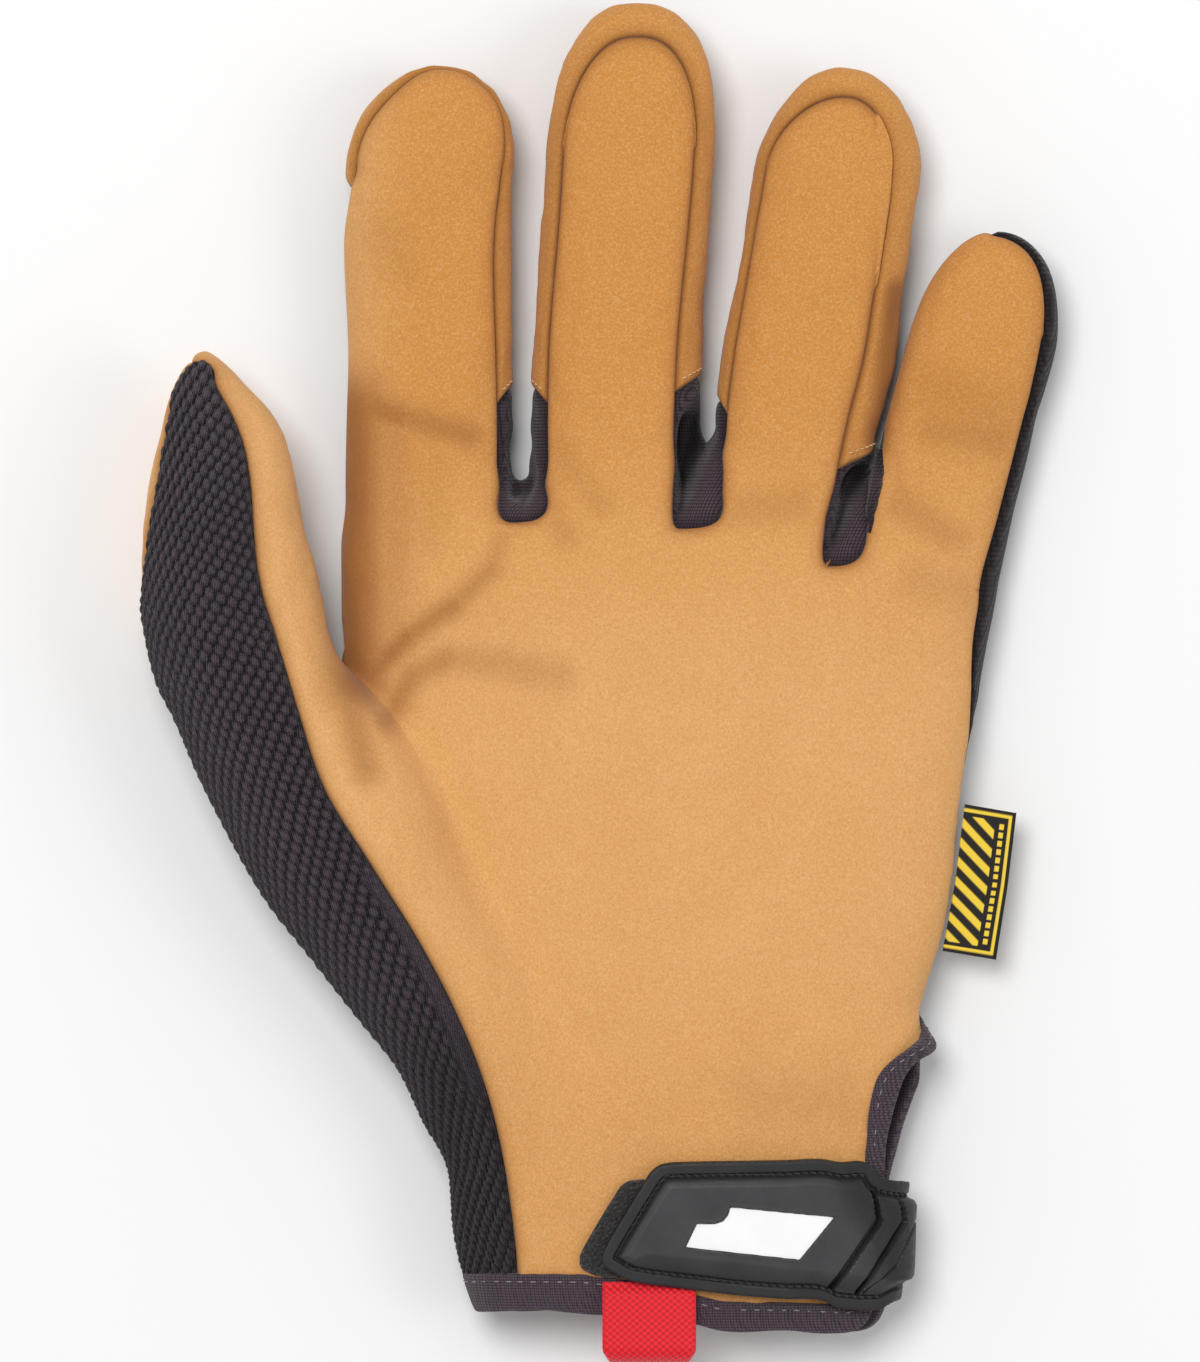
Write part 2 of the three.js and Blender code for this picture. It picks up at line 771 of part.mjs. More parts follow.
const tipUnder = onSkin(vec(...THUMB_END.tipUnder));

const thumbFrontRows = [palmColumns[0][THUMB_ROW]];
const thumbKnitRows = [];
const thumbUnderRows = [];
for (const y of THUMB_ROWS) {
  const seam = topOf(KNIT_SEAM.at("x", y), y);
  const below = onThumb(y, ROUND_THUMB.below);
  const farSeam = onThumb(y, ROUND_THUMB.farSeam);
  const inner = ROUND_THUMB.inner.map((degrees) => onThumb(y, degrees));
  const under = ROUND_THUMB.under.map((degrees) => onThumb(y, degrees));
  thumbFrontRows.push(lineOver([seam, ...inner, below], ACROSS));
  thumbKnitRows.push(lineOver([seam, onThumb(y, ROUND_THUMB.outer), farSeam], ACROSS));
  thumbUnderRows.push([...lineOver([farSeam, ...under], ACROSS), below]);
}
const knitTopRow = Array.from({ length: ACROSS + 1 }, (_, i) => {
  const t = (2 * i) / ACROSS - 1;
  const [x, y] = THUMB_END.knitTop;
  const [halfWidth, drop] = THUMB_END.knitTopHalf;
  return topOf(x - halfWidth * t, y - drop * t * t);
});
thumbKnitRows.push(knitTopRow);
const lastInner = THUMB_END.lastInner.map((y, i) => onThumb(y, [20, ROUND_THUMB.below][i]));
const lastUnder = THUMB_END.lastUnder.map((y, i) => onThumb(y, [190, 262, ROUND_THUMB.below][i]));
thumbFrontRows.push(lineOver([knitTopRow[0], ...lastInner], ACROSS));
thumbUnderRows.push(lineOver([knitTopRow[ACROSS], ...lastUnder], ACROSS + 1));
thumbFrontRows.push(lineOver([knitTop, thumbTip, tipUnder], ACROSS));
thumbUnderRows.push(lineOver([knitTop, thumbTip, tipUnder], ACROSS + 1));
knitTopRow[ACROSS / 2].copy(knitTop);

// The knit panel down to the cuff, and the end of the thumb's underside where the back begins
const knitSide = (row) => {
  const y = PALM_ROWS.at("knit", row);
  const silhouette = leftOf(y, mix(THUMB.shape.at("middle", y), 11, 0.5));
  const seam = palmSeam("knit", row);
  const upper = topOf(mix(seam.x, silhouette.x, 0.6), y);
  return lineOver([seam, upper, silhouette, backSeam("knit", row)], ACROSS);
};
const lowKnitRows = Array.from({ length: THUMB_ROW + 1 }, (_, row) => knitSide(row));
thumbUnderRows.unshift([...backColumns[0][THUMB_ROW], saddleAbove]);

// A closed wall from patches of the skin: outer points, inner points further in, and edges between them
function wallOf(patches, wall, gap = SEAM_GAP) {
  const points = [];
  const ids = new Map();
  const idOf = (p) => {
    const key = [p.x, p.y, p.z].map((v) => Math.round(v * 500)).join();
    if (!ids.has(key)) {
      ids.set(key, points.length);
      points.push(p);
    }
    return ids.get(key);
  };
  const triangles = [];
  for (const rows of patches) {
    const faces = [];
    let facing = 0;
    for (let r = 0; r + 1 < rows.length; r += 1) {
      for (let c = 0; c + 1 < rows[r].length; c += 1) {
        const [a, b, d, e] = [rows[r][c], rows[r][c + 1], rows[r + 1][c + 1], rows[r + 1][c]].map(idOf);
        for (const face of [
          [a, b, d],
          [a, d, e],
        ]) {
          if (new Set(face).size < 3) continue;
          faces.push(face);
          const [p, q, s] = face.map((i) => points[i]);
          const normal = q.clone().sub(p).cross(s.clone().sub(p));
          facing += normal.dot(gradient(p));
        }
      }
    }
    triangles.push(...(facing > 0 ? faces : faces.map(([a, b, c]) => [a, c, b])));
  }

  const normals = points.map((p) => gradient(p).normalize());
  const edges = new Map();
  for (const [a, b, c] of triangles) {
    for (const [from, to] of [
      [a, b],
      [b, c],
      [c, a],
    ]) {
      edges.set(from + "," + to, [from, to]);
    }
  }
  const rim = [...edges.values()].filter(([from, to]) => !edges.has(to + "," + from));
  const pull = points.map(() => vec(0, 0, 0));
  for (const [from, to] of rim) {
    const along = points[to].clone().sub(points[from]);
    for (const i of [from, to]) {
      pull[i].add(normals[i].clone().cross(along).normalize());
    }
  }
  const outer = points.map((p, i) => {
    if (pull[i].lengthSq() === 0) return p.clone();
    const inward = pull[i].clone().normalize();
    const share = Math.max(pull[i].length() / 2, 0.6);
    return p.clone().addScaledVector(inward, gap / 2 / share);
  });
  const inner = outer.map((p, i) => p.clone().addScaledVector(normals[i], -wall));
  const count = points.length;
  const index = [];
  for (const [a, b, c] of triangles) {
    index.push(a, b, c, a + count, c + count, b + count);
  }
  for (const [from, to] of rim) {
    index.push(from, to + count, to, from, from + count, to + count);
  }
  return geometryFrom([...outer, ...inner], index);
}

function geometryFrom(points, index) {
  const geometry = new THREE.BufferGeometry().setFromPoints(points);
  geometry.setIndex(index);
  geometry.computeVertexNormals();
  return geometry;
}

const glove = new THREE.Group();
const MATERIALS = {
  leather: { color: 0xe0ac6d, roughness: 0.9 },
  band: { color: 0xd69f5c, roughness: 0.9 },
  backKnit: { color: 0x24201f, roughness: 0.95 },
  waffleKnit: { color: 0x3a3139, roughness: 0.95 },
  greyKnit: { color: 0x4c4048, roughness: 0.95 },
  tape: { color: 0x534952, roughness: 0.9 },
  rubber: { color: 0x484749, roughness: 0.55 },
  window: { color: 0xf5f5f4, roughness: 0.4 },
  hook: { color: 0x1b1918, roughness: 0.95 },
  webbing: { color: 0xd8262f, roughness: 0.6 },
  label: { color: 0x1c1a17, roughness: 0.85 },
};

function addPiece(name, geometry, material) {
  const finish = new THREE.MeshStandardMaterial({ ...MATERIALS[material], metalness: 0 });
  const mesh = new THREE.Mesh(geometry, finish);
  mesh.name = name;
  glove.add(mesh);
}

// Palm panel with the fronts of the fingers and the inner side of the thumb
addPiece(
  "palm_panel",
  wallOf([...palmColumns, ...fingers.map((finger) => finger.front), thumbFrontRows], LEATHER_WALL),
  "leather",
);

// Back panel with the backs of the fingers, the outer side of the hand and of the little finger
const outerSide = [];
for (let row = SLIT_ROW; row <= LAST_ROW; row += 1) {
  const y = PALM_ROWS.at("outer", row);
  const silhouette = row === LAST_ROW ? roots[4].side : firstHit(vec(95, y, 9), vec(-1, 0, 0), 90);
  outerSide.push(lineOver([palmSeam("outer", row), silhouette, backSeam("outer", row)], SIDE_CELLS));
}
const indexSide = [];
for (let row = THUMB_ROW; row <= LAST_ROW; row += 1) {
  const front = palmSeam("crease", row);
  const back = backSeam("crease", row);
  const between = front.clone().lerp(back, 0.5);
  const silhouette = row === LAST_ROW ? roots[0].side : onSkin(between.add(vec(-1.5, 0, 0)));
  if (row === THUMB_ROW) indexSide.push([0, 1, 2, 3].map((i) => front.clone().lerp(back, i / SIDE_CELLS)));
  else indexSide.push(lineOver([front, silhouette, back], SIDE_CELLS));
}
const [index, middle, ring, little] = fingers;
const backPatches = [
  ...backColumns,
  ...fingers.map((finger) => finger.back),
  outerSide,
  indexSide,
  index.side.slice(0, SHAFT.toShoulder + 1),
  little.side.slice(little.leftCut),
];
addPiece("back_panel", wallOf(backPatches, KNIT_WALL), "backKnit");

// Leather bands round the tips, and the knit gussets in the three gaps between the fingers
const bands = [
  ["index_band", index.side.slice(SHAFT.toShoulder, index.rightCut + 1)],
  ["middle_band", middle.side.slice(middle.leftCut, middle.rightCut + 1)],
  ["ring_band", ring.side.slice(ring.leftCut, ring.rightCut + 1)],
];
for (const [name, rows] of bands) {
  addPiece(name, wallOf([rows], LEATHER_WALL), "band");
}
const gussets = [
  ["gusset_index_middle", index, middle],
  ["gusset_middle_ring", middle, ring],
  ["gusset_ring_little", ring, little],
];
for (const [name, before, after] of gussets) {
  const patches = [before.side.slice(before.rightCut), after.side.slice(0, after.leftCut + 1)];
  addPiece(name, wallOf(patches, GUSSET_WALL, GUSSET_GAP), "greyKnit");
}

// Thumb: the waffle knit panel that runs on to the cuff, and the leather of its underside
addPiece("thumb_knit_panel", wallOf([[...lowKnitRows, ...thumbKnitRows]], KNIT_WALL), "waffleKnit");
addPiece("thumb_underside", wallOf([thumbUnderRows], LEATHER_WALL), "leather");

// A closed solid from rings of points that follow one another; a ring is closed, and so may be their order
function solidOfRings(rings, isLoop) {
  const size = rings[0].length;
  const index = [];
  const last = isLoop ? rings.length : rings.length - 1;
  for (let r = 0; r < last; r += 1) {
    const next = (r + 1) % rings.length;
    for (let i = 0; i < size; i += 1) {
      const j = (i + 1) % size;
      const [a, b, c, d] = [r * size + i, r * size + j, next * size + j, next * size + i];
      index.push(a, b, c, a, c, d);
    }
  }
  return { points: rings.flat(), index };
}

function facingOut(points, index) {
  let volume = 0;
  for (let i = 0; i < index.length; i += 3) {
    const [a, b, c] = [points[index[i]], points[index[i + 1]], points[index[i + 2]]];
    volume += a.dot(b.clone().cross(c));
  }
  return volume > 0 ? index : index.toReversed();
}

// Knit tape round the opening: along the palm's edge, up the slit, over its top, down and back along the cuff
const tapePath = [
  ...palmColumns.flatMap((rows) => rows[0].slice(0, ACROSS)),
  ...Array.from({ length: SLIT_ROW }, (_, row) => palmSeam("outer", row)),
  ...outerSide[0],
  ...Array.from({ length: SLIT_ROW }, (_, i) => backSeam("outer", SLIT_ROW - 1 - i)),
  ...backColumns.toReversed().flatMap((rows) => rows[0].toReversed().slice(1)),
  ...lowKnitRows[0].toReversed().slice(1, ACROSS),
];
const slitStart = palmColumns.length * ACROSS;
const slitEnd = slitStart + 2 * SLIT_ROW + SIDE_CELLS;
const slitTop = palmSeam("outer", SLIT_ROW);
const around = (i) => tapePath[(i + tapePath.length) % tapePath.length];
const tapeOutward = tapePath.map((p, i) => {
  const up = gradient(p).normalize();
  if (i < slitStart || i > slitEnd) {
    return around(i + 1).clone().sub(around(i - 1)).cross(up).normalize();
  }
  const toMiddle = vec(slitTop.x - p.x, Math.min(0, slitTop.y - CUFF_TAPE.turn - p.y), OUTER_MIDDLE - p.z);
  return toMiddle.addScaledVector(up, -toMiddle.dot(up)).normalize();
});
const tapeRings = tapePath.map((p, i) => {
  const count = tapePath.length;
  const outward = tapeOutward[i]
    .clone()
    .multiplyScalar(2)
    .add(tapeOutward[(i + 1) % count])
    .add(tapeOutward[(i + count - 1) % count])
    .normalize();
  const up = gradient(p).normalize();
  const inSlit = THREE.MathUtils.clamp(Math.min(i - slitStart + 2, slitEnd - i + 2) / 4, 0, 1);
  const width = mix(CUFF_TAPE.cuffWidth, CUFF_TAPE.slitWidth, inSlit);
  const { over, under, bevel } = CUFF_TAPE;
  return [
    [SEAM_GAP / 2, over],
    [width - bevel, over],
    [width, over - bevel],
    [width, bevel - under],
    [width - bevel, -under],
    [SEAM_GAP / 2, -under],
  ].map(([out, rise]) => p.clone().addScaledVector(outward, out).addScaledVector(up, rise));
});
const tape = solidOfRings(tapeRings, true);
addPiece("cuff_tape", geometryFrom(tape.points, facingOut(tape.points, tape.index)), "tape");

// The place at a height over the palm that lies over x, y in plan
function overPalm(x, y, height) {
  let foot = topOf(x, y);
  let up = gradient(foot).normalize();
  for (let i = 0; i < 3; i += 1) {
    foot = topOf(x - up.x * height, y - up.y * height);
    up = gradient(foot).normalize();
  }
  return foot.addScaledVector(up, height);
}

// The place at a height over the outer side of the wrist, at an angle round a line inside it
function overSide(degrees, y, height) {
  const angle = THREE.MathUtils.degToRad(degrees);
  const out = vec(Math.cos(angle), 0, Math.sin(angle));
  const hit = firstHit(vec(38, y, 12).addScaledVector(out, 50), out.clone().negate(), 60);
  return hit.clone().addScaledVector(gradient(hit).normalize(), height);
}

// Closure strap: stations from its free end on the palm round the outer side to its root on the back
const STRAP_STATIONS = named(
  ["zone", "place", "lower", "upper", "rise"],
  [
    ["palm", 0.6, -104.6, -102.4, 1.6],
    ["palm", 1.7, -106.2, -100.6, 1.6],
    ["palm", 4.2, -107.6, -96.6, 1.9],
    ["palm", 6.8, -108.2, -92.4, 2.6],
    ["palm", 9.2, -108.6, -88.8, 3.1],
    ["palm", 11.6, -108.9, -86.9, 3.1],
    ["palm", 18, -109.4, -86.5, 3.1],
    ["palm", 26, -110.2, -86.3, 3.1],
    ["palm", 34, -111.0, -86.1, 3.1],
    ["palm", 41, -111.7, -86.0, 3.1],
    ["side", 62, -112.2, -86.2, 2.9],
    ["side", 48, -112.6, -87.6, 3.4],
    ["side", 36, -112.6, -89.0, 2.7],
    ["side", 24, -112.2, -89.4, 3.5],
    ["side", 10, -110.6, -89.6, 2.8],
    ["side", -8, -109.2, -90.0, 3.0],
    ["side", -35, -108.6, -90.4, 1.9],
    ["side", -62, -108.2, -90.8, 1.6],
    ["side", -90, -108.0, -91.0, 1.6],
    ["side", -118, -107.8, -91.2, 1.6],
  ],
);
const STRAP_ACROSS = [0, 0.09, 0.16, 0.5, 0.84, 0.91, 1];
const strapRings = STRAP_STATIONS.map(({ zone, place, lower, upper, rise }) => {
  const over = zone === "palm" ? overPalm : overSide;
  const roundSide = zone === "palm" ? 0 : (STRAP.fromAngle - place) / (STRAP.fromAngle - STRAP.toAngle);
  const lift = mix(STRAP.liftOnPalm, STRAP.liftOnSide, roundSide);
  const line = (heightOf) => STRAP_ACROSS.map((t) => over(place, mix(lower, upper, t), lift + heightOf(t)));
  const top = line((t) => (t > 0.1 && t < 0.9 ? rise : STRAP.flange));
  return [...top, ...line(() => 0).reverse()];
});

// A strip from rings that each run along its top and back along its underside, closed at both ends
function solidStrip(rings) {
  const strip = solidOfRings(rings, false);
  const size = rings[0].length;
  const lastRing = strip.points.length - size;
  for (let i = 0; i + 1 < size / 2; i += 1) {
    const [a, b, c, d] = [i, i + 1, size - 2 - i, size - 1 - i];
    strip.index.push(a, c, b, a, d, c);
    strip.index.push(lastRing + a, lastRing + b, lastRing + c, lastRing + a, lastRing + c, lastRing + d);
  }
  return { points: strip.points, index: facingOut(strip.points, strip.index) };
}
const strap = solidStrip(strapRings);

// A flat piece with straight edges that follows the palm at two heights, from its corners in plan
function plateOverPalm(corners, low, high) {
  const outline = corners.flatMap(([x, y], i) => {
    const [toX, toY] = corners[(i + 1) % corners.length];
    return [0, 1 / 3, 2 / 3].map((t) => new THREE.Vector2(mix(x, toX, t), mix(y, toY, t)));
  });
  if (THREE.ShapeUtils.isClockWise(outline)) outline.reverse();
  const count = outline.length;
  const points = [high, low].flatMap((height) => outline.map((p) => overPalm(p.x, p.y, height)));
  const index = [];
  for (const [a, b, c] of THREE.ShapeUtils.triangulateShape(outline, [])) {
    index.push(a, b, c, a + count, c + count, b + count);
  }
  for (let i = 0; i < count; i += 1) {
    const j = (i + 1) % count;
    index.push(i, i + count, j, j, i + count, j + count);
  }
  return { points, index: facingOut(points, index) };
}

const WINDOW_CORNERS = [
  [23.8, -94.8],
  [42.6, -96.8],
  [36.2, -104.0],
  [16.2, -101.8],
  [18.2, -97.8],
  [21.2, -97.8],
];
const centreOf = (corners, i) => corners.reduce((sum, corner) => sum + corner[i], 0) / corners.length;
const grown = (corners, by) => {
  const [cx, cy] = [centreOf(corners, 0), centreOf(corners, 1)];
  return corners.map(([x, y]) => {
    const away = Math.hypot(x - cx, y - cy);
    return [x + ((x - cx) / away) * by, y + ((y - cy) / away) * by];
  });
};

function manifoldOf({ points, index }) {
  const vertProperties = new Float32Array(points.flatMap((p) => [p.x, p.y, p.z]));
  return new wasm.Manifold(new wasm.Mesh({ numProp: 3, vertProperties, triVerts: new Uint32Array(index) }));
}

const strapTop = STRAP.liftOnPalm + STRAP.body;
const windowTop = strapTop - WINDOW.sunk;
const windowBottom = windowTop - WINDOW.thickness;
const recess = plateOverPalm(grown(WINDOW_CORNERS, 0.6), windowBottom - WINDOW.clearance, strapTop + 2);
const cutStrap = manifoldOf(strap).subtract(manifoldOf(recess)).getMesh();
const strapGeometry = new THREE.BufferGeometry();
strapGeometry.setAttribute("position", new THREE.BufferAttribute(cutStrap.vertProperties, 3));
strapGeometry.setIndex([...cutStrap.triVerts]);
strapGeometry.computeVertexNormals();
addPiece("closure_strap", strapGeometry, "rubber");

const windowPlate = plateOverPalm(WINDOW_CORNERS, windowBottom, windowTop);
addPiece("id_window", geometryFrom(windowPlate.points, windowPlate.index), "window");

// Hook patch between the palm and the strap, its free end showing past the strap's
const HOOK_STATIONS = named(
  ["x", "lower", "upper"],
  [
    [-3.4, -104.6, -103.0],
    [-2.4, -106.0, -101.4],
    [0.4, -107.2, -97.4],
    [2.6, -107.3, -94.4],
    [5.0, -107.2, -90.8],
    [7.4, -107.2, -89.8],
    [14, -107.2, -89.5],
    [21, -107.1, -89.4],
    [28, -107.0, -89.4],
    [35, -106.9, -89.4],
    [41, -106.8, -89.4],
  ],
);
const hookRings = HOOK_STATIONS.map(({ x, lower, upper }) => {
  const line = (height) => [0, 0.5, 1].map((t) => overPalm(x, mix(lower, upper, t), height));
  return [...line(HOOK.lift + HOOK.thickness), ...line(HOOK.lift).reverse()];
});
const hook = solidStrip(hookRings);
addPiece("hook_patch", geometryFrom(hook.points, hook.index), "hook");

// Pull loop: webbing over the cuff tape, folded below it and back inside the opening
const loopMiddle = (LOOP.left + LOOP.right) / 2;
const skinAtLoop = topOf(loopMiddle, LOOP.root).z;
const loopHigh = skinAtLoop + CUFF_TAPE.over + LOOP_CLEARANCE.over;
const loopLow = skinAtLoop - CUFF_TAPE.under - LOOP_CLEARANCE.under;
const loopCentre = (loopHigh + loopLow) / 2;
const foldRadius = (loopHigh - loopLow) / 2;
const foldCentre = -LOOP.bottom - foldRadius - LOOP.webbing;
const loopProfile = new THREE.Shape();
loopProfile.moveTo(-LOOP.root, loopHigh + LOOP.webbing);
loopProfile.lineTo(foldCentre, loopHigh + LOOP.webbing);
loopProfile.absarc(foldCentre, loopCentre, foldRadius + LOOP.webbing, Math.PI / 2, -Math.PI / 2, true);
loopProfile.lineTo(-LOOP.insideEnd, loopLow - LOOP.webbing);
loopProfile.lineTo(-LOOP.insideEnd, loopLow);
loopProfile.lineTo(foldCentre, loopLow);
loopProfile.absarc(foldCentre, loopCentre, foldRadius, -Math.PI / 2, Math.PI / 2, false);
loopProfile.lineTo(-LOOP.root, loopHigh);
const loopGeometry = new THREE.ExtrudeGeometry(loopProfile, {
  depth: LOOP.right - LOOP.left,
  bevelEnabled: false,
  curveSegments: 8,
  steps: 1,
});
const loopFrame = new THREE.Matrix4().makeBasis(vec(0, -1, 0), vec(0, 0, 1), vec(-1, 0, 0));
loopGeometry.applyMatrix4(loopFrame.setPosition(LOOP.right, 0, 0));
addPiece("pull_loop", loopGeometry, "webbing");

// Woven label held in the outer seam
const labelShape = new THREE.Shape(
  [
    [65.8, -22.2],
    [75.2, -23.8],
    [71.5, -50.2],
    [61.8, -48.4],
    [64.4, -36.0],
  ].map(([x, y]) => new THREE.Vector2(x, y)),
);
const labelGeometry = new THREE.ExtrudeGeometry(labelShape, { depth: LABEL.thickness, bevelEnabled: false });
labelGeometry.translate(0, 0, LABEL.height - LABEL.thickness / 2);
addPiece("side_label", labelGeometry, "label");

export default glove;
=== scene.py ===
# %% [markdown]
# A mechanic's glove for the left hand, lying on its back with the palm up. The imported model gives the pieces
# at their real size. This lesson gives each of them the surface that the real one has: napped tan suede,
# waffle knit, ribbed tape, moulded rubber, webbing and a woven label. Panels drawn one by one would leave
# steps along their seams. The body of the glove is one soft shape, so a single field describes its skin here,
# and each panel is a patch of it.

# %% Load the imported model
import math
import bmesh
import bpy
import mathutils
import numpy as np
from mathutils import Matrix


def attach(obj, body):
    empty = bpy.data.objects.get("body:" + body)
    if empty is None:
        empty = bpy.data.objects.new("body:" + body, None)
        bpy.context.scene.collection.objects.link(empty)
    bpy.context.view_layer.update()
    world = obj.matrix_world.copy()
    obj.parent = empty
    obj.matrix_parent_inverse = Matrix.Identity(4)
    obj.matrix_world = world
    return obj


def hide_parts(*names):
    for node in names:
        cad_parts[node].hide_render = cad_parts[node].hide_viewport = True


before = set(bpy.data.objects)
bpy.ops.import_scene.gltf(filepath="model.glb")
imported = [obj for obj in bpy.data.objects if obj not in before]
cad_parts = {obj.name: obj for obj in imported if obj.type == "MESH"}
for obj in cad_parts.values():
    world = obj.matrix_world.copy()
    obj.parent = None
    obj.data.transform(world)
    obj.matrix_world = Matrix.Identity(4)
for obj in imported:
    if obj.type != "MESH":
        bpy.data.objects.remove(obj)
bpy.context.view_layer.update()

# %% [markdown]
# The photograph looks straight down on the palm. A long lens far away keeps the fingertips and the thumb,
# which lie at different heights, at the same scale.

# %% Camera
MM = 0.001
FRAME_LENGTH = 245.2 * MM
SHARP_HEIGHT = 12 * MM
CAMERA_X = 0.18 * MM
CAMERA_DISTANCE = 2.4

camera_data = bpy.data.cameras.new("camera")
camera_data.sensor_fit = "AUTO"
camera_data.sensor_width = 36
camera_data.lens = camera_data.sensor_width * CAMERA_DISTANCE / FRAME_LENGTH
camera_data.clip_start = 0.1
camera_data.clip_end = 20
camera = bpy.data.objects.new("camera", camera_data)
camera.location = (CAMERA_X, 0, SHARP_HEIGHT + CAMERA_DISTANCE)
bpy.context.scene.collection.objects.link(camera)
bpy.context.scene.camera = camera
print("lens", round(camera_data.lens), "mm")

# %% [markdown]
# A few short tables describe the glove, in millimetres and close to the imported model's own values. Between
# its rows a table is read along a smooth curve that never overshoots, so a finger stays as slim as its rows
# say.

# %% Reading a table


class Table:
    """Columns read at any place, along cubic pieces.

    The slope at a row is the harmonic mean of the slopes beside it, or zero where these differ in sign.
    """

    def __init__(self, names, *rows):
        self.names = names.split()
        self.rows = np.array(rows, float)
        rise = np.diff(self.rows, axis=0) / np.diff(self.rows[:, :1], axis=0)
        product = rise[:-1] * rise[1:]
        total = np.where(product > 0, rise[:-1] + rise[1:], 1)
        self.slope = np.zeros_like(self.rows)
        self.slope[1:-1] = np.where(product > 0, 2 * product / total, 0)

    def __call__(self, place, *names):
        """The named columns, or all: between rows a rise of t t (3 - 2 t) and both slopes' shares."""
        at = self.rows[:, 0]
        place = np.clip(place, at[0], at[-1])
        i = np.clip(np.searchsorted(at, place, side="right") - 1, 0, len(at) - 2)
        step = at[i + 1] - at[i]
        t = (place - at[i]) / step
        later = t * t * (3 - 2 * t)
        leave, arrive = step * t * (1 - t) ** 2, step * t * t * (t - 1)
        found = []
        for column in [self.names.index(name) for name in names or self.names[1:]]:
            value, slope = self.rows[:, column], self.slope[:, column]
            risen = (value[i + 1] - value[i]) * later
            found.append(value[i] + risen + slope[i] * leave + slope[i + 1] * arrive)
        return found if len(found) > 1 else found[0]


print("halfway between rows of 0 and 2:", Table("at value", (0, 0), (1, 2), (2, 3))(0.5).round(2))

# %% [markdown]
# The palm is a table of its sides and heights at some places y. The webs say where it closes between the
# fingers, and the thumb is a row of ovals of its own.

# %% Palm and thumb
PALM = Table(
    "y left right top under",
    (-122, -20.5, 48.5, 19.5, 4.4), (-112, -21.6, 51.0, 20.5, 4.4), (-104, -24.6, 51.8, 21.5, 4.3),
    (-96, -25.9, 52.0, 22.5, 4.2), (-88, -25.6, 53.0, 23.5, 3.8), (-80, -24.5, 54.6, 24.5, 2.4),
    (-71, -23.6, 58.0, 25.0, 0.4), (-65, -24.5, 59.6, 25.2, -0.6), (-60, -26.0, 57.6, 25.2, -1.4),
    (-52, -28.6, 60.0, 25.0, -1.5), (-40, -33.0, 63.0, 24.6, -1.5), (-23, -39.0, 64.8, 23.6, -1.5),
    (-7, -43.0, 66.4, 22.8, -1.5), (8, -44.6, 67.6, 22.4, -1.4), (24, -44.8, 69.6, 21.4, -1.2),
    (44, -44.6, 71.0, 19.6, -0.8),
)
WEBS = Table("x start end", (-46, 24, 38), (-12.8, 24, 36.7), (3, 25, 40), (19.4, 24, 42.3), (34, 19, 36),
             (48.6, 19, 38.5), (60, 14, 30), (70, 12, 24))
THUMB = Table(
    "y left right middle half",
    (-118, -19.8, 14.0, 12.4, 7.6), (-104, -22.8, 16.0, 12.8, 8.4), (-90, -25.3, 16.0, 13.2, 9.6),
    (-80, -31.2, 11.0, 14.0, 10.6), (-70, -36.0, 3.0, 15.0, 11.6), (-61, -43.0, -5.0, 15.8, 12.6),
    (-50, -51.6, -13.0, 16.6, 13.8), (-39, -60.1, -20.4, 17.2, 14.6), (-23, -69.0, -27.8, 17.6, 14.8),
    (-16, -72.4, -31.4, 17.6, 14.6), (-7, -76.2, -37.2, 17.6, 14.2), (0, -79.6, -42.2, 17.6, 13.8),
    (7, -81.3, -48.1, 17.6, 13.4), (15, -82.4, -49.8, 17.8, 13.0), (25, -82.3, -52.2, 18.2, 12.4),
    (31, -81.6, -53.6, 18.4, 12.1), (36, -81.2, -53.9, 18.6, 11.8), (42, -81.1, -53.9, 18.6, 11.6),
    (47, -81.6, -54.4, 18.6, 11.5), (52.4, -82.3, -57.2, 18.6, 11.4), (59, -82.0, -59.4, 18.6, 11.4),
)
THUMB_TIP, THUMB_SHOULDER, THUMB_POINTED = 59.2, 30, 1.7
# Widths over which a finger and the thumb's tip melt into the palm
JOIN, THUMB_JOIN = 5.0, 2.4
print("the palm is", np.diff(PALM(-40.0, "left", "right"))[0].round(1), "mm wide in its middle")

# %% [markdown]
# Each finger has its own sides, because no two of them bend alike. The inset says how far its palm seam lies
# inside the outline, from its root on the left over the tip to its root on the right.

# %% Fingers' sizes


class Finger:
    """One finger: its tip and shoulder, how pointed it is, its half height, the heights of its middle, the
    cuts where its bands end, its sides, and how far its palm seams lie inside its outline."""

    def __init__(self, tip, shoulder, pointed, half, middle, cut, sides, inset):
        self.tip, self.shoulder, self.pointed, self.half, self.middle = tip, shoulder, pointed, half, middle
        self.cut = cut
        self.sides = Table("y left right", *sides)
        self.inset = Table("place inset", *inset)

    def middle_height(self, y):
        """From the first height at the root to the second at the tip, along a parabola."""
        t = np.clip((y - 20) / (self.tip - 20), 0, 1)
        return self.middle[0] + (self.middle[1] - self.middle[0]) * t**2


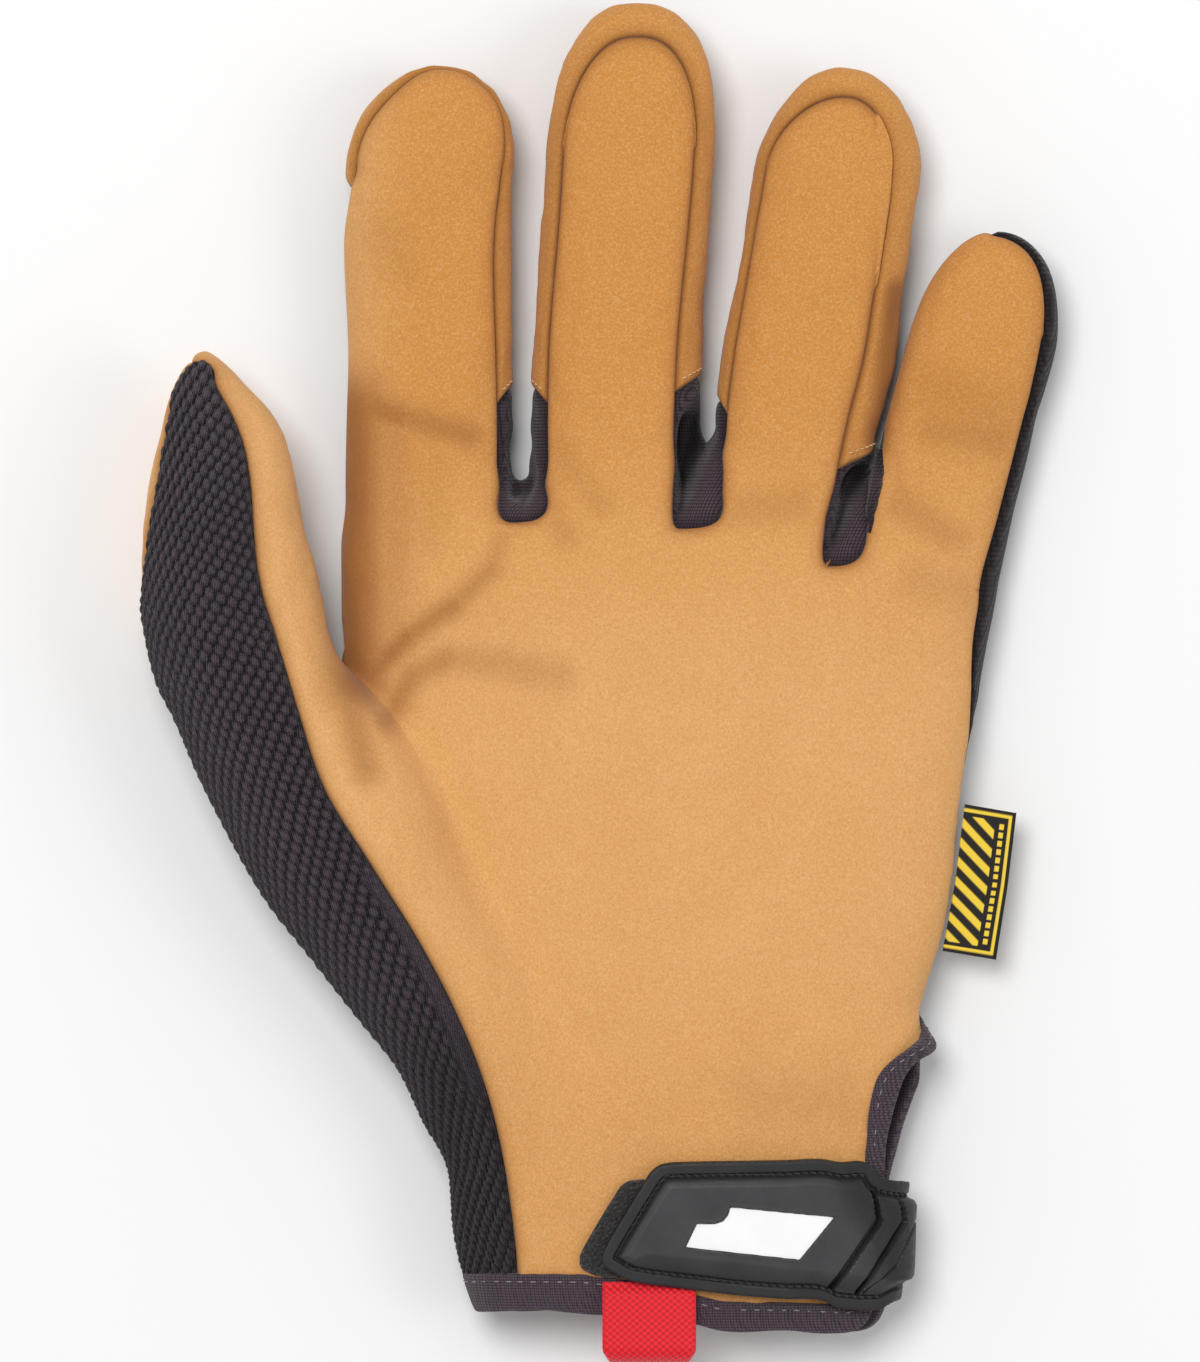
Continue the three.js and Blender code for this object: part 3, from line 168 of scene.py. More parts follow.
FINGERS = [
    Finger(
        110.9, 92.9, 2.0, 8.8, (8.2, 12.6), (92, 50),
        [(14, -45.6, -17.2), (36, -45.7, -16.0), (47, -45.5, -15.6), (58, -45.2, -15.5), (79, -46.0, -15.7),
         (96, -45.4, -15.1), (111, -43.8, -13.8)],
        [(0, 0), (0.76, 0.1), (1, 1.6), (1.25, 1.7), (1.5, 0.2), (1.8, 0.4), (2, 1.6), (2.3, 2.8), (3, 1.8)],
    ),
    Finger(
        122.2, 95.6, 2.3, 9.0, (8.4, 13.2), (50, 52),
        [(14, -11.0, 17.5), (36, -12.2, 18.2), (47, -12.4, 18.4), (58, -12.2, 18.5), (69, -11.5, 19.1),
         (79, -10.6, 19.8), (96, -9.5, 20.9), (122, -8.2, 22.2)],
        [(0, 2.6), (1, 2.7), (1.5, 6.0), (2, 3.2), (2.5, 4.0), (3, 4.8)],
    ),
    Finger(
        110.4, 92.5, 2.0, 8.8, (8.4, 12.8), (48, 38),
        [(14, 20.3, 45.6), (29, 20.2, 46.5), (36, 20.3, 48.4), (47, 20.7, 50.6), (58, 22.1, 53.3),
         (69, 24.1, 54.9), (79, 25.9, 56.3), (90, 27.7, 57.6), (96, 28.6, 57.8), (110, 30.4, 58.0)],
        [(0, 2.0), (0.8, 1.4), (1, 1.6), (1.5, 4.9), (2, 4.9), (2.5, 5.3), (3, 5.8)],
    ),
    Finger(
        81.2, 61.8, 2.0, 8.0, (8.0, 11.8), (44, 44),
        [(0, 41.0, 68.6), (14.6, 43.2, 71.5), (25.4, 45.8, 73.8), (36, 48.8, 76.1), (47, 51.5, 78.8),
         (52, 52.9, 80.3), (61, 55.4, 82.4), (68, 57.0, 83.4), (81, 58.6, 85.0)],
        [(0, 2.4), (0.2, 1.7), (0.5, 0.4), (1, 0.1), (1.4, 0.1), (1.6, 1.0), (2, 2.5), (2.4, 2.0), (2.7, 2.4),
         (3, 3.2)],
    ),
]
FINGER_ROOT_Y, FINGER_ROOT_LENGTH = 12, 34
print("fingertips at y", [finger.tip for finger in FINGERS])

# %% [markdown]
# The glove has been worn, so folds have stayed where the thumb and the fingers bend. A fold is a straight
# groove with soft sides, and longer ones are put together from several.

# %% Folds
# Two ends in plan, width and depth
FOLDS = np.array([
    (-41, -1, -33, 7, 3.2, 1.8), (-33, 7, -24, 13, 3.4, 1.6), (-24, 13, -18, 24, 3.6, 0.9),
    (-38, -7, -33, 1, 3.0, 1.2), (-33, 1, -17, 3, 3.8, 1.3), (-45, 51, -23, 44, 3.4, 1.2),
    (22, 31, 36, 32, 4.0, 0.6), (60, 45, 72, 43, 3.6, 0.6), (-45, 2, -40, -17, 3.0, 0.9),
])
print(len(FOLDS), "folds")

# %% [markdown]
# Palm, fingers and thumb are soft ovals. Each is a field: a number for every point, negative inside, which
# near the oval is the distance from it. A sculpted mesh could have the same form, but a field also tells the
# height and the outward direction anywhere. Working on whole arrays of points keeps this quick.

# %% Fields of palm, fingers and thumb


def xyz(x, y, z):
    """Points from three arrays of coordinates."""
    return np.stack(np.broadcast_arrays(np.asarray(x, float), y, z), axis=-1)


def mix(a, b, t):
    """From a at t = 0 to b at t = 1, evenly."""
    return a + (b - a) * t


def smoothstep(v, low, high):
    """From 0 at low to 1 at high, along t * t * (3 - 2 t)."""
    t = np.clip((v - low) / (high - low), 0, 1)
    return t * t * (3 - 2 * t)


def unit(v):
    """Vectors divided by their length."""
    return v / np.maximum(np.linalg.norm(v, axis=-1, keepdims=True), 1e-9)


def oval_distance(dx, dz, a, b, n, t, length, pointed):
    """Distance from an oval |x/a|^n + |z/b|^n = 1 that closes over a length.

    It is the point's size in the oval less 1, divided by the slope of that size.
    """
    across, up = np.abs(dx) / a, np.abs(dz) / b
    round_ = np.maximum((across**n + up**n) ** (1 / n), 1e-6)
    whole = (round_**pointed + t**pointed) ** (1 / pointed)
    in_plane = (round_ / whole) ** (pointed - 1)
    slope = np.sqrt(
        (in_plane * (across / round_) ** (n - 1) / a) ** 2
        + (in_plane * (up / round_) ** (n - 1) / b) ** 2
        + ((t / whole) ** (pointed - 1) / length) ** 2
    )
    return (whole - 1) / np.maximum(slope, 0.5 / np.maximum(a, b))


def blend(a, b, width):
    """The smaller of two fields, with the corner between them rounded over a width."""
    h = np.maximum(width - np.abs(a - b), 0) / width
    return np.minimum(a, b) - h * h * width / 4


def palm_field(x, y, z):
    """The palm's oval, which closes between the fingers as the webs say."""
    left, right, top, under = PALM(y)
    start, end = WEBS(x)
    length = end - start
    t = np.maximum(0, y - start) / length
    return oval_distance(x - (left + right) / 2, z - (top + under) / 2, (right - left) / 2, (top - under) / 2,
                         2.4, t, length, 2)


def finger_field(finger, x, y, z):
    """A finger's oval, which closes at its tip and inside the palm."""
    left, right = finger.sides(y)
    length = np.where(y > finger.shoulder, finger.tip - finger.shoulder, FINGER_ROOT_LENGTH)
    t = np.maximum(0, np.maximum(y - finger.shoulder, FINGER_ROOT_Y - y)) / length
    return oval_distance(x - (left + right) / 2, z - finger.middle_height(y), (right - left) / 2, finger.half,
                         2.2, t, length, finger.pointed)


def thumb_field(x, y, z):
    """The thumb's oval, which closes at its tip."""
    left, right, middle, half = THUMB(y)
    length = THUMB_TIP - THUMB_SHOULDER
    t = np.maximum(0, y - THUMB_SHOULDER) / length
    return oval_distance(x - (left + right) / 2, z - middle, (right - left) / 2, half, 2, t, length,
                         THUMB_POINTED)


print("3 mm under the palm's skin the field is", palm_field(10.0, -40.0, 21.6).round(1))

# %% [markdown]
# Joined smoothly, with the folds pressed into the palm side, they are the glove's field, and the skin is
# where it is zero. Its slope points outwards, so a point can be moved along it onto the skin. A line from
# outside can always go on by nine tenths of the distance without missing the skin.

# %% The skin
# Places outside the glove from which lines are sent to it
ABOVE, BELOW, LEFT, RIGHT = 42, -0.9, -95, 95
# Where the fingers and the thumb count: from a y upwards, this far beside a finger's sides, and up to an x
FINGERS_FROM, NEAR_FINGER, THUMB_UNTIL = -32, 24, 30
# Folds begin between these heights, so the back has none
FOLD_LOW, FOLD_HIGH = 10, 16


def fold_depth(x, y, folds=FOLDS):
    """Deepest of the folds at a place: depth times exp(-(distance / width) squared)."""
    depth = np.zeros(np.broadcast(x, y).shape)
    for x0, y0, x1, y1, width, deep in folds:
        dx, dy = x1 - x0, y1 - y0
        along = np.clip(((x - x0) * dx + (y - y0) * dy) / (dx * dx + dy * dy), 0, 1)
        away = np.hypot(x - x0 - dx * along, y - y0 - dy * along) / width
        depth = np.maximum(depth, deep * np.exp(-away * away))
    return depth


def body(p):
    """The whole glove's field: negative inside, zero on the skin. A finger counts only for points near it."""
    p = np.asarray(p, float)
    x, y, z = p.reshape(-1, 3).T
    palm = palm_field(x, y, z)
    field = palm.copy()
    parts = [(x < THUMB_UNTIL, thumb_field, mix(JOIN, THUMB_JOIN, smoothstep(y, 1, 8)))]
    for finger in FINGERS:
        left, right = finger.sides.rows[:, 1].min(), finger.sides.rows[:, 2].max()
        near = (y > FINGERS_FROM) & (x > left - NEAR_FINGER) & (x < right + NEAR_FINGER)
        parts.append((near, lambda *at, finger=finger: finger_field(finger, *at), np.full(y.shape, JOIN)))
    for near, part, softness in parts:
        joined = blend(palm[near], part(x[near], y[near], z[near]), softness[near])
        field[near] = np.minimum(field[near], joined)
    high = z > FOLD_LOW
    field[high] += fold_depth(x[high], y[high]) * smoothstep(z[high], FOLD_LOW, FOLD_HIGH)
    return np.maximum(field, -z).reshape(p.shape[:-1])


def outward(p, value=None, h=0.1):
    """Direction out of the skin: the field's differences along the three axes."""
    value = body(p) if value is None else value
    return np.stack([body(p + step) - value for step in np.eye(3) * h], axis=-1) / h


def on_skin(p, rounds=5):
    """Moves points along the field's slope until they lie on the skin."""
    p = np.array(p, float)
    for _ in range(rounds):
        value = body(p)
        slope = outward(p, value)
        step = value / np.maximum((slope**2).sum(-1), 0.05)
        p = p - slope * np.clip(step, -3, 3)[..., None]
    return p


def first_hit(start, direction, rounds=28):
    """First place on the skin along a line from outside, in steps of 0.9 of the distance to the skin."""
    start = np.array(start, float)
    direction = np.broadcast_to(np.asarray(direction, float), start.shape)
    travelled = np.zeros(start.shape[:-1])
    for _ in range(rounds):
        step = 0.9 * body(start + direction * travelled[..., None])
        travelled = np.clip(travelled + step, 0, 120)
    return start + direction * travelled[..., None]


def top_of(x, y):
    """The skin seen from above; beside the glove, the skin nearest to a point at half its height."""
    hit = first_hit(xyz(x, y, ABOVE), (0, 0, -1))
    return np.where((hit[..., 2:] < 0) | ~np.isfinite(hit[..., 2:]), on_skin(xyz(x, y, 12)), hit)


def under_of(x, y):
    """The skin seen from below the floor."""
    hit = first_hit(xyz(x, y, BELOW), (0, 0, 1))
    return np.where(hit[..., 2:] > 35, on_skin(xyz(x, y, 8)), hit)


def left_of(y, z):
    """The skin met from the left."""
    return first_hit(xyz(LEFT, y, z), (1, 0, 0))


def right_of(y, z):
    """The skin met from the right."""
    return first_hit(xyz(RIGHT, y, z), (-1, 0, 0))


print("palm height at its middle:", top_of(10.0, -40.0).round(2))

# %% [markdown]
# The panels meet on seams. Each seam is a row of places on the skin, given by its distance from the middle at
# some heights, and a panel is the grid between two seams.

# %% Tables of the seams
# Cells across a grid, and round a finger's side
ACROSS, SIDE_CELLS = 12, 6
# How far the back's seams lie inside the outline, and the height of the hand's outer edge
BACK_INSET, OUTER_MIDDLE = 3.2, 10
# Rows of the palm at the slit's top, in the thumb's web and at the roots of the fingers
SLIT_ROW, THUMB_ROW, LAST_ROW = 6, 11, 14
# Rows of a finger up to the bands' ends, up to its shoulder and over its tip
TO_CUT, TO_SHOULDER, ARCH = 9, 19, 5
# Heights of the lowest rows above a web, which are crowded there, and elsewhere, where they are even
NEAR_ROOT = np.array([0.0, 0.25, 0.9, 1.9, 3.3])
EVEN_ROWS = np.linspace(0, NEAR_ROOT[-1], len(NEAR_ROOT))

KNIT_SEAM = Table(
    "y x", (-107, -14.9), (-97, -15.7), (-89, -16.9), (-80, -18.6), (-71, -21.2), (-63, -23.9),
    (-54, -28.4), (-44, -33.6), (-38, -37.4), (-31, -41.9), (-22, -47.7), (-13, -51.5), (-4, -54.0),
    (7, -57.2), (18, -60.5), (26, -61.4), (36, -62.1), (45, -64.1), (50, -66.6), (55.6, -69.0),
)
THUMB_CREASE = Table("y x", (-107, -3), (-75, -12), (-48, -18.4), (-23, -28.0), (-16, -31.8), (-7, -37.2),
                     (0, -41.2), (5.2, -45.9))
OUTER_SEAM = Table(
    "y x", (-112, 45.5), (-104, 47.8), (-96, 48.4), (-86, 48.8), (-82, 49.0), (-77, 49.7), (-72, 50.6),
    (-67, 52.4), (-64, 54.2), (-60.7, 57.3), (-50, 60.5), (-36, 63.5), (-20, 65.0), (-7, 66.0), (8, 67.4),
    (16.5, 69.0),
)
PALM_ROWS = Table(
    "row knit crease web1 web2 web3 outer", (0, -107.4, -107.4, -108.8, -112.4, -112.6, -113.2),
    (6, -58, -58, -58.5, -59, -60, -60.7), (11, 6, 5.2, 5, 4, 2, 0), (14, 30, 30, 28.8, 27.5, 20.7, 16.5),
)
WEB_X = {"web1": (8, -15.5), "web2": (22, 14.6), "web3": (36, 41.6)}
ROOT_X = (-45.7, -14.2, 18.8, 48.9, 72.4)
ROOT_WEB = {1: 36.7, 2: 42.3, 3: 38.5}
BOUNDARIES = ["knit", "crease", "web1", "web2", "web3", "outer"]

# The web between thumb and index finger, met from above it, at two heights
saddle_above = first_hit(xyz(-46.6, 20, 11), (0, -1, 0), 80)
saddle_below = first_hit(xyz(-47, 20, 6.5), (0, -1, 0), 80)
row_number = np.arange(LAST_ROW + 1)
print("the thumb's web lies at y", saddle_above[1].round(1))

# %% [markdown]
# Six lines run from the cuff to the roots of the fingers, on the palm and again on the back: the knit's seam,
# the thumb's crease, one to each gap between the fingers, and the outer seam.

# %% Seams of palm and back


def boundary_x(name, y):
    """Where one of the six lines lies at the height of each row."""
    if name in WEB_X:
        return mix(*WEB_X[name], row_number / LAST_ROW)
    if name == "crease":
        return np.where(row_number > THUMB_ROW, FINGERS[0].sides(y, "left"), THUMB_CREASE(y))
    return {"knit": KNIT_SEAM, "outer": OUTER_SEAM}[name](y)


def palm_seam(name):
    """One of the six lines that run from the cuff to the roots of the fingers, on the palm side."""
    y = PALM_ROWS(row_number, name)
    x = boundary_x(name, y)
    line = top_of(x, y)
    if name == "crease":
        line[THUMB_ROW + 1:] = on_skin(xyz(x, y, 9))[THUMB_ROW + 1:]
        line[THUMB_ROW] = saddle_above
    if name == "outer":
        height = OUTER_MIDDLE + 4.5 * np.clip((y + 14) / 24, 0, 1)
        line[SLIT_ROW:] = on_skin(xyz(x + 0.5, y, height))[SLIT_ROW:]
    return line


def knit_silhouette(y):
    """The outermost places of the thumb's side."""
    return left_of(y, mix(THUMB(y, "middle"), 11, 0.5))


def back_seam(name):
    """The same line on the back of the hand."""
    y = PALM_ROWS(row_number, name)
    x = boundary_x(name, y)
    if name == "knit":
        x = knit_silhouette(y)[..., 0] + 4.5
    if name == "crease":
        x = np.where(row_number > THUMB_ROW, x + BACK_INSET, x)
    if name == "outer":
        silhouette = right_of(y, OUTER_MIDDLE)
        x = silhouette[..., 0] - np.where(row_number < SLIT_ROW, 2.2, BACK_INSET)
    line = under_of(x, y)
    if name == "crease":
        line[THUMB_ROW] = saddle_below
    return line


print("the outer seam starts at", palm_seam("outer")[0].round(1))

# %% [markdown]
# Coarse grids between the lines hold the shape, and a smooth curve refines them later. Their rows crowd where
# the skin turns steeply down, because even rows seen from above would be far apart there.

# %% Grids of palm and back


def spread(steep_left, steep_right, cells=ACROSS):
    """Shares of the way across, crowded towards a side where the skin turns down: cosines of even angles."""
    start = math.pi * mix(0.75, 1, np.asarray(steep_left, float))[:, None]
    end = math.pi * mix(0.25, 0, np.asarray(steep_right, float))[:, None]
    angle = mix(start, end, np.linspace(0, 1, cells + 1))
    return (np.cos(start) - np.cos(angle)) / (np.cos(start) - np.cos(end))


def rows_between(left, right, look, steep_left, steep_right, lift=(0.0, 0.0)):
    """A grid between two lines, with its height from the skin.

    In plan its rows run straight across, and are lifted in their middle along half an ellipse.
    """
    t = spread(steep_left, steep_right)[..., None]
    plan = mix(left[:, None, :2], right[:, None, :2], t)
    across = t[..., 0]
    raised = mix(np.reshape(lift[0], (-1, 1)), np.reshape(lift[1], (-1, 1)), across)
    plan[..., 1] += raised * np.sqrt(4 * across * (1 - across))
    grid = look(plan[..., 0], plan[..., 1])
    grid[:, 0], grid[:, -1] = left, right
    return grid


def columns(seam, look):
    """The six lines on one side of the hand and the five grids between them."""
    lines = [seam(name) for name in BOUNDARIES]
    grids = []
    for c in range(5):
        rows = slice(0, LAST_ROW + 1 if c else THUMB_ROW + 1)
        steep_left = (row_number > THUMB_ROW) * (c == 1)
        steep_right = np.full(LAST_ROW + 1, c == 0) | ((row_number >= SLIT_ROW) & (c == 4))
        left, right = lines[c][rows], lines[c + 1][rows]
        grids.append(rows_between(left, right, look, steep_left[rows], steep_right[rows]))
    return lines, grids


palm_lines, palm_columns = columns(palm_seam, top_of)
back_lines, back_columns = columns(back_seam, under_of)
print("palm grid of", len(palm_columns), "fifths,", ACROSS, "cells each")

# %% [markdown]
# A finger's palm side ends on a seam that follows its outline a few millimetres inside it, up one side, over
# the tip and down the other. The strip between that seam and the back is a surface of its own round the
# finger.

# %% Seams of the fingers


def power(v, p):
    """|v|^p."""
    return np.abs(v) ** p


def outline_at(finger, place, y_side):
    """Outline in plan, and the direction inwards from it.

    Places 0 to 1 run up the left side, 1 to 2 over the tip as a rounded arch, and 2 to 3 down the right side.
    """
    angle = math.pi * (2 - np.clip(place, 1, 2))
    e = 2 / finger.pointed
    over = (place > 1) & (place < 2)
    y = np.where(over, finger.shoulder + (finger.tip - finger.shoulder) * power(np.sin(angle), e), y_side)
    across = np.where(over, np.sign(np.cos(angle)) * power(np.cos(angle), e), np.where(place <= 1, -1, 1))
    left, right = finger.sides(y)
    x = (left + right) / 2 + (right - left) / 2 * across
    inward = np.where(over, [-np.cos(angle), -np.sin(angle)], [-across, 0 * across])
    return x, y, inward


def seam_place(finger, place, y_side, inset, side):
    """Seam places an inset inside the outline, on the palm side (+1) or on the back (-1).

    Near its root a finger lies inside the web. There the place is the one seen from above or below.
    """
    x, y, inward = outline_at(finger, place, y_side)
    x, y = x + inward[0] * inset, y + inward[1] * inset
    share = 1 - np.minimum(inset / 12, 1)
    z = finger.middle_height(y) + side * finger.half * np.sqrt(np.maximum(0, 1 - share**2))
    seen = top_of(x, y) if side > 0 else under_of(x, y)
    covered = (side * (seen[..., 2] - z) > 1.5) & (inset > 1)
    return np.where(covered[..., None], seen, on_skin(xyz(x, y, z)))


def shaft_places(root, cut, shoulder, near):
    """Heights up a finger's side: those near its root, then even up to the cut and up to the shoulder."""
    low = root + near * min(1, (cut - root) / (2 * near[-1]))
    up = np.linspace(low[-1], cut, TO_CUT - len(low) + 2)[1:]
    return np.concatenate([low, up, np.linspace(cut, shoulder, TO_SHOULDER - TO_CUT + 1)[1:]])


def through(first, middle, last, cells):
    """Parabolas through three places on the skin, pressed onto it."""
    t = np.linspace(0, 1, cells + 1)[None, :, None]
    a, b, c = first[:, None], middle[:, None], last[:, None]
    return on_skin((2 * t - 1) * (t - 1) * a + 4 * t * (1 - t) * b + t * (2 * t - 1) * c)


def rim(grid):
    """The edge of a finger's grid: up its left side, over the tip and down its right side."""
    return np.vstack([grid[:, 0], grid[-1, 1:-1], grid[::-1, -1]])


print("middle finger's seam at its shoulder:", seam_place(FINGERS[1], np.array(1.0), 95.6, 2.7, 1).round(1))

# %% [markdown]
# Each finger gets three grids: its palm side, its back and the side round it. The sides bend towards the
# gusset at the root, where the rows follow the web, and a fan of rows closes the tip.

# %% Fingers
BELOW_SHOULDER = 5  # where the straight shaft ends
CUT_RISE = 2.7  # how much higher the bands end at the silhouette than at the palm seam


def build_finger(finger, i):
    """Grids of one finger: its palm side, its back, and its side from palm seam to back seam."""
    straight = finger.shoulder - BELOW_SHOULDER
    ends = [palm_columns[i + 1][LAST_ROW][0][1], palm_columns[i + 1][LAST_ROW][-1][1]]
    cuts = [min(finger.cut[0], mix(ends[0], straight, 0.8)), finger.cut[1]]
    near = [NEAR_ROOT if i + k in ROOT_WEB else EVEN_ROWS for k in (0, 1)]
    heights = [shaft_places(*side, straight, rows) for *side, rows in zip(ends, cuts, near)]
    shares = [np.clip((y - end) / (finger.shoulder - end), 0, 1) for y, end in zip(heights, ends)]
    climbed = [np.clip((y - y[0]) / NEAR_ROOT[-1], 0, 1) for y in heights]
    settle = [np.sqrt(1 - (1 - part) ** 2)[:, None] for part in climbed]
    lift = np.zeros((2, len(heights[0])))
    lift[:, :len(NEAR_ROOT)] = EVEN_ROWS - np.array(near)
    place = np.linspace(1, 2, ACROSS + 1)
    grow = np.sin(np.arange(1, ARCH + 1) / ARCH * math.pi / 2)
    faces = []
    for side, look, columns_ in ((1, top_of, palm_columns), (-1, under_of, back_columns)):
        root = columns_[i + 1][LAST_ROW]
        lines, steep = [], []
        for k, at in ((0, shares[0]), (1, 3 - shares[1])):
            inset = finger.inset(at) if side > 0 else np.full(at.shape, BACK_INSET)
            line = seam_place(finger, np.full(at.shape, 3.0 * k), heights[k], inset, side)
            lines.append(on_skin(mix(root[-k], line, settle[k])))
            steep.append(np.clip(1.5 - inset, 0, 1))
        grid = rows_between(*lines, look, *steep, lift)
        grid[0] = root
        inset = finger.inset(place) if side > 0 else np.full(place.shape, BACK_INSET)
        arch = seam_place(finger, place, finger.shoulder, inset, side)
        cap = mix(grid[-1][None], arch[None], grow[:, None, None])
        pressed, seen = on_skin(cap), look(cap[..., 0], cap[..., 1])
        pressed[:-1, 1:-1] = seen[:-1, 1:-1]
        faces.append(np.vstack([grid, pressed]))
    middles = []
    for k in (0, 1):
        root = i + k
        web = ROOT_WEB.get(root, ends[k])
        y = np.concatenate([shaft_places(web, cuts[k] + CUT_RISE, straight, near[k]),
                            mix(straight, finger.shoulder, grow)])
        line = on_skin(xyz(finger.sides(y, ("left", "right")[k]), y, finger.middle_height(y)))
        line[0] = on_skin(xyz(ROOT_X[root], web, 9))
        middles.append(line)
    x, y, _ = outline_at(finger, place[1:-1], 0)
    over = on_skin(xyz(x, y, finger.middle_height(y)))
    silhouette = np.vstack([middles[0], over, middles[1][::-1]])
    return faces[0], faces[1], through(rim(faces[0]), silhouette, rim(faces[1]), SIDE_CELLS)


fingers = [build_finger(finger, i) for i, finger in enumerate(FINGERS)]
print("finger grids:", fingers[0][0].shape[:2], "and their sides", fingers[0][2].shape[:2])

# %% [markdown]
# A few guide places are enough to draw a smooth row of cloth: a cubic curve runs through them, and even
# places along it are pressed onto the skin. The same curve refines a coarse grid, first down and then across.

# %% Smooth rows and finer grids


def along(grid, cells):
    """Refines a grid along its rows, with cubic pieces whose slopes weigh both neighbouring steps."""
    step = np.diff(grid, axis=0)
    h = np.maximum(np.linalg.norm(step, axis=-1, keepdims=True), 1e-6)
    pace = step / h
    slope = np.empty_like(grid)
    slope[1:-1] = (pace[1:] * h[:-1] + pace[:-1] * h[1:]) / (h[:-1] + h[1:])
    slope[0] = 1.5 * pace[0] - 0.5 * slope[1] if len(grid) > 2 else pace[0]
    slope[-1] = 1.5 * pace[-1] - 0.5 * slope[-2] if len(grid) > 2 else pace[-1]
    t = np.linspace(0, 1, cells + 1)[:-1].reshape(1, -1, 1, 1)
    later = t * t * (3 - 2 * t)
    leave, arrive = t * (1 - t) ** 2, t * t * (t - 1)
    fine = mix(grid[:-1, None], grid[1:, None], later)
    fine = fine + (slope[:-1] * h)[:, None] * leave + (slope[1:] * h)[:, None] * arrive
    return np.concatenate([fine.reshape(-1, *grid.shape[1:]), grid[-1:]])


def line_over(guides, cells=ACROSS):
    """Even places along smooth curves through guides (guide by row by xyz), pressed onto the skin."""
    guides = np.array(guides)
    fine = along(guides, 16)
    length = np.cumsum(np.linalg.norm(np.diff(fine, axis=0), axis=-1), axis=0)
    length = np.vstack([np.zeros(length.shape[1]), length])
    lines = np.empty((guides.shape[1], cells + 1, 3))
    for row, reach in enumerate(length.T):
        at = np.linspace(0, reach[-1], cells + 1)
        for axis in range(3):
            lines[row, :, axis] = np.interp(at, reach, fine[:, row, axis])
    lines = on_skin(lines)
    lines[:, 0], lines[:, -1] = guides[0], guides[-1]
    return lines


def refine(grid, rows, cells):
    """Refines a grid both ways and presses it onto the skin."""
    return on_skin(along(along(grid, rows).transpose(1, 0, 2), cells).transpose(1, 0, 2), 3)


print("a grid of 3 rows refined by 4 has", len(along(np.eye(3)[:, None], 4)), "rows")

# %% [markdown]
# The thumb stands out from the palm. Rows round it run from the knit's seam over the inner side to the seam
# below, and another set carries the knit over its outer side. A cap and a fan of short rows close its tip,
# where the leather of the inner side ends in a point.

# %% Thumb
THUMB_ROWS = np.array([9.5, 13.5, 19.5, 27, 34.5, 42, 48.5, 53.6])
# Angles round the thumb in degrees, counted from its inner side over its top: the ends of the leather, of the
# knit at each row, and the side that lies on the floor
LEATHER_END, LYING = -38, 262
FAR_ANGLE = np.array([194, 183, 167, 159, 156, 160, 165, 169])


def on_thumb(y, degrees):
    """Places round the thumb: an ellipse at the height y, closed towards the tip."""
    left, right, middle, half = THUMB(y)
    t = np.maximum(0, (y - THUMB_SHOULDER) / (THUMB_TIP - THUMB_SHOULDER))
    close = np.maximum(0, 1 - t**THUMB_POINTED) ** (1 / THUMB_POINTED)
    a = np.radians(degrees)
    return on_skin(xyz((left + right) / 2 + (right - left) / 2 * close * np.cos(a), y,
                       middle + half * close * np.sin(a)))


across = np.linspace(-1, 1, ACROSS + 1)
knit_top_row = top_of(-71.4 - 2.2 * across, 57.5 - 0.9 * across**2)
seam = top_of(KNIT_SEAM(THUMB_ROWS), THUMB_ROWS)
below, far = on_thumb(THUMB_ROWS, LEATHER_END), on_thumb(THUMB_ROWS, FAR_ANGLE)
front_rows = line_over([seam, on_thumb(THUMB_ROWS, 30), on_thumb(THUMB_ROWS, 0), below])
knit_rows = line_over([seam, on_thumb(THUMB_ROWS, 110), far])
under_rows = line_over([far, on_thumb(THUMB_ROWS, mix(FAR_ANGLE, LYING, 0.4)), on_thumb(THUMB_ROWS, LYING),
                        on_thumb(THUMB_ROWS, -62), below], ACROSS + 1)
near_tip = np.array([57.4, 57.0, 56.6])
front_cap = line_over([knit_top_row[:1], on_thumb(near_tip[:1], 20), on_thumb(near_tip[2:], LEATHER_END)])
under_cap = line_over([knit_top_row[-1:], on_thumb(near_tip[:1], 190), on_thumb(near_tip[1:2], LYING),
                       on_thumb(near_tip[2:], LEATHER_END)], ACROSS + 1)
cap_end = front_cap[0, -1]
left_tip, tip_under = on_skin(xyz([-73.0, -70.6], [58.4, 57.8], [16.5, 15.0]))
tip_line = [knit_top_row[-1:], left_tip[None], tip_under[None]]
fan = [line_over([knit_top_row[start:start + 1], on_skin(xyz([x], [y], 17.8)),
                  on_skin(mix(cap_end, tip_under, share))[None]])
       for start, x, y, share in ((4, -68.6, 59.4, 1 / 3), (8, -70.6, 59.8, 2 / 3))]
thumb_front = np.vstack([palm_columns[0][THUMB_ROW][None], front_rows, front_cap, *fan, line_over(tip_line)])
thumb_under = np.vstack([np.vstack([back_columns[0][THUMB_ROW], saddle_above])[None], under_rows, under_cap,
                         line_over(tip_line, ACROSS + 1)])

low_y = PALM_ROWS(row_number, "knit")[:THUMB_ROW + 1]
low_seam, low_side = palm_lines[0][:THUMB_ROW + 1], knit_silhouette(low_y)
low_knit = line_over([low_seam, top_of(mix(low_seam[:, 0], low_side[:, 0], 0.6), low_y), low_side,
                      back_lines[0][:THUMB_ROW + 1]])
thumb_knit = np.vstack([low_knit, knit_rows, knit_top_row[None]])
print("thumb rows:", len(thumb_front), len(thumb_knit), len(thumb_under))

# %% [markdown]
# Sewn cloth is never a perfect surface. A seam pulls the edges of both panels down into a groove, the cloth
# puckers beside it, and a hand has left the leather slightly uneven. All of this is a height over the skin,
# added along its outward direction. The unevenness is a sum of plane waves with seeded directions.

# %% Relief of sewn cloth


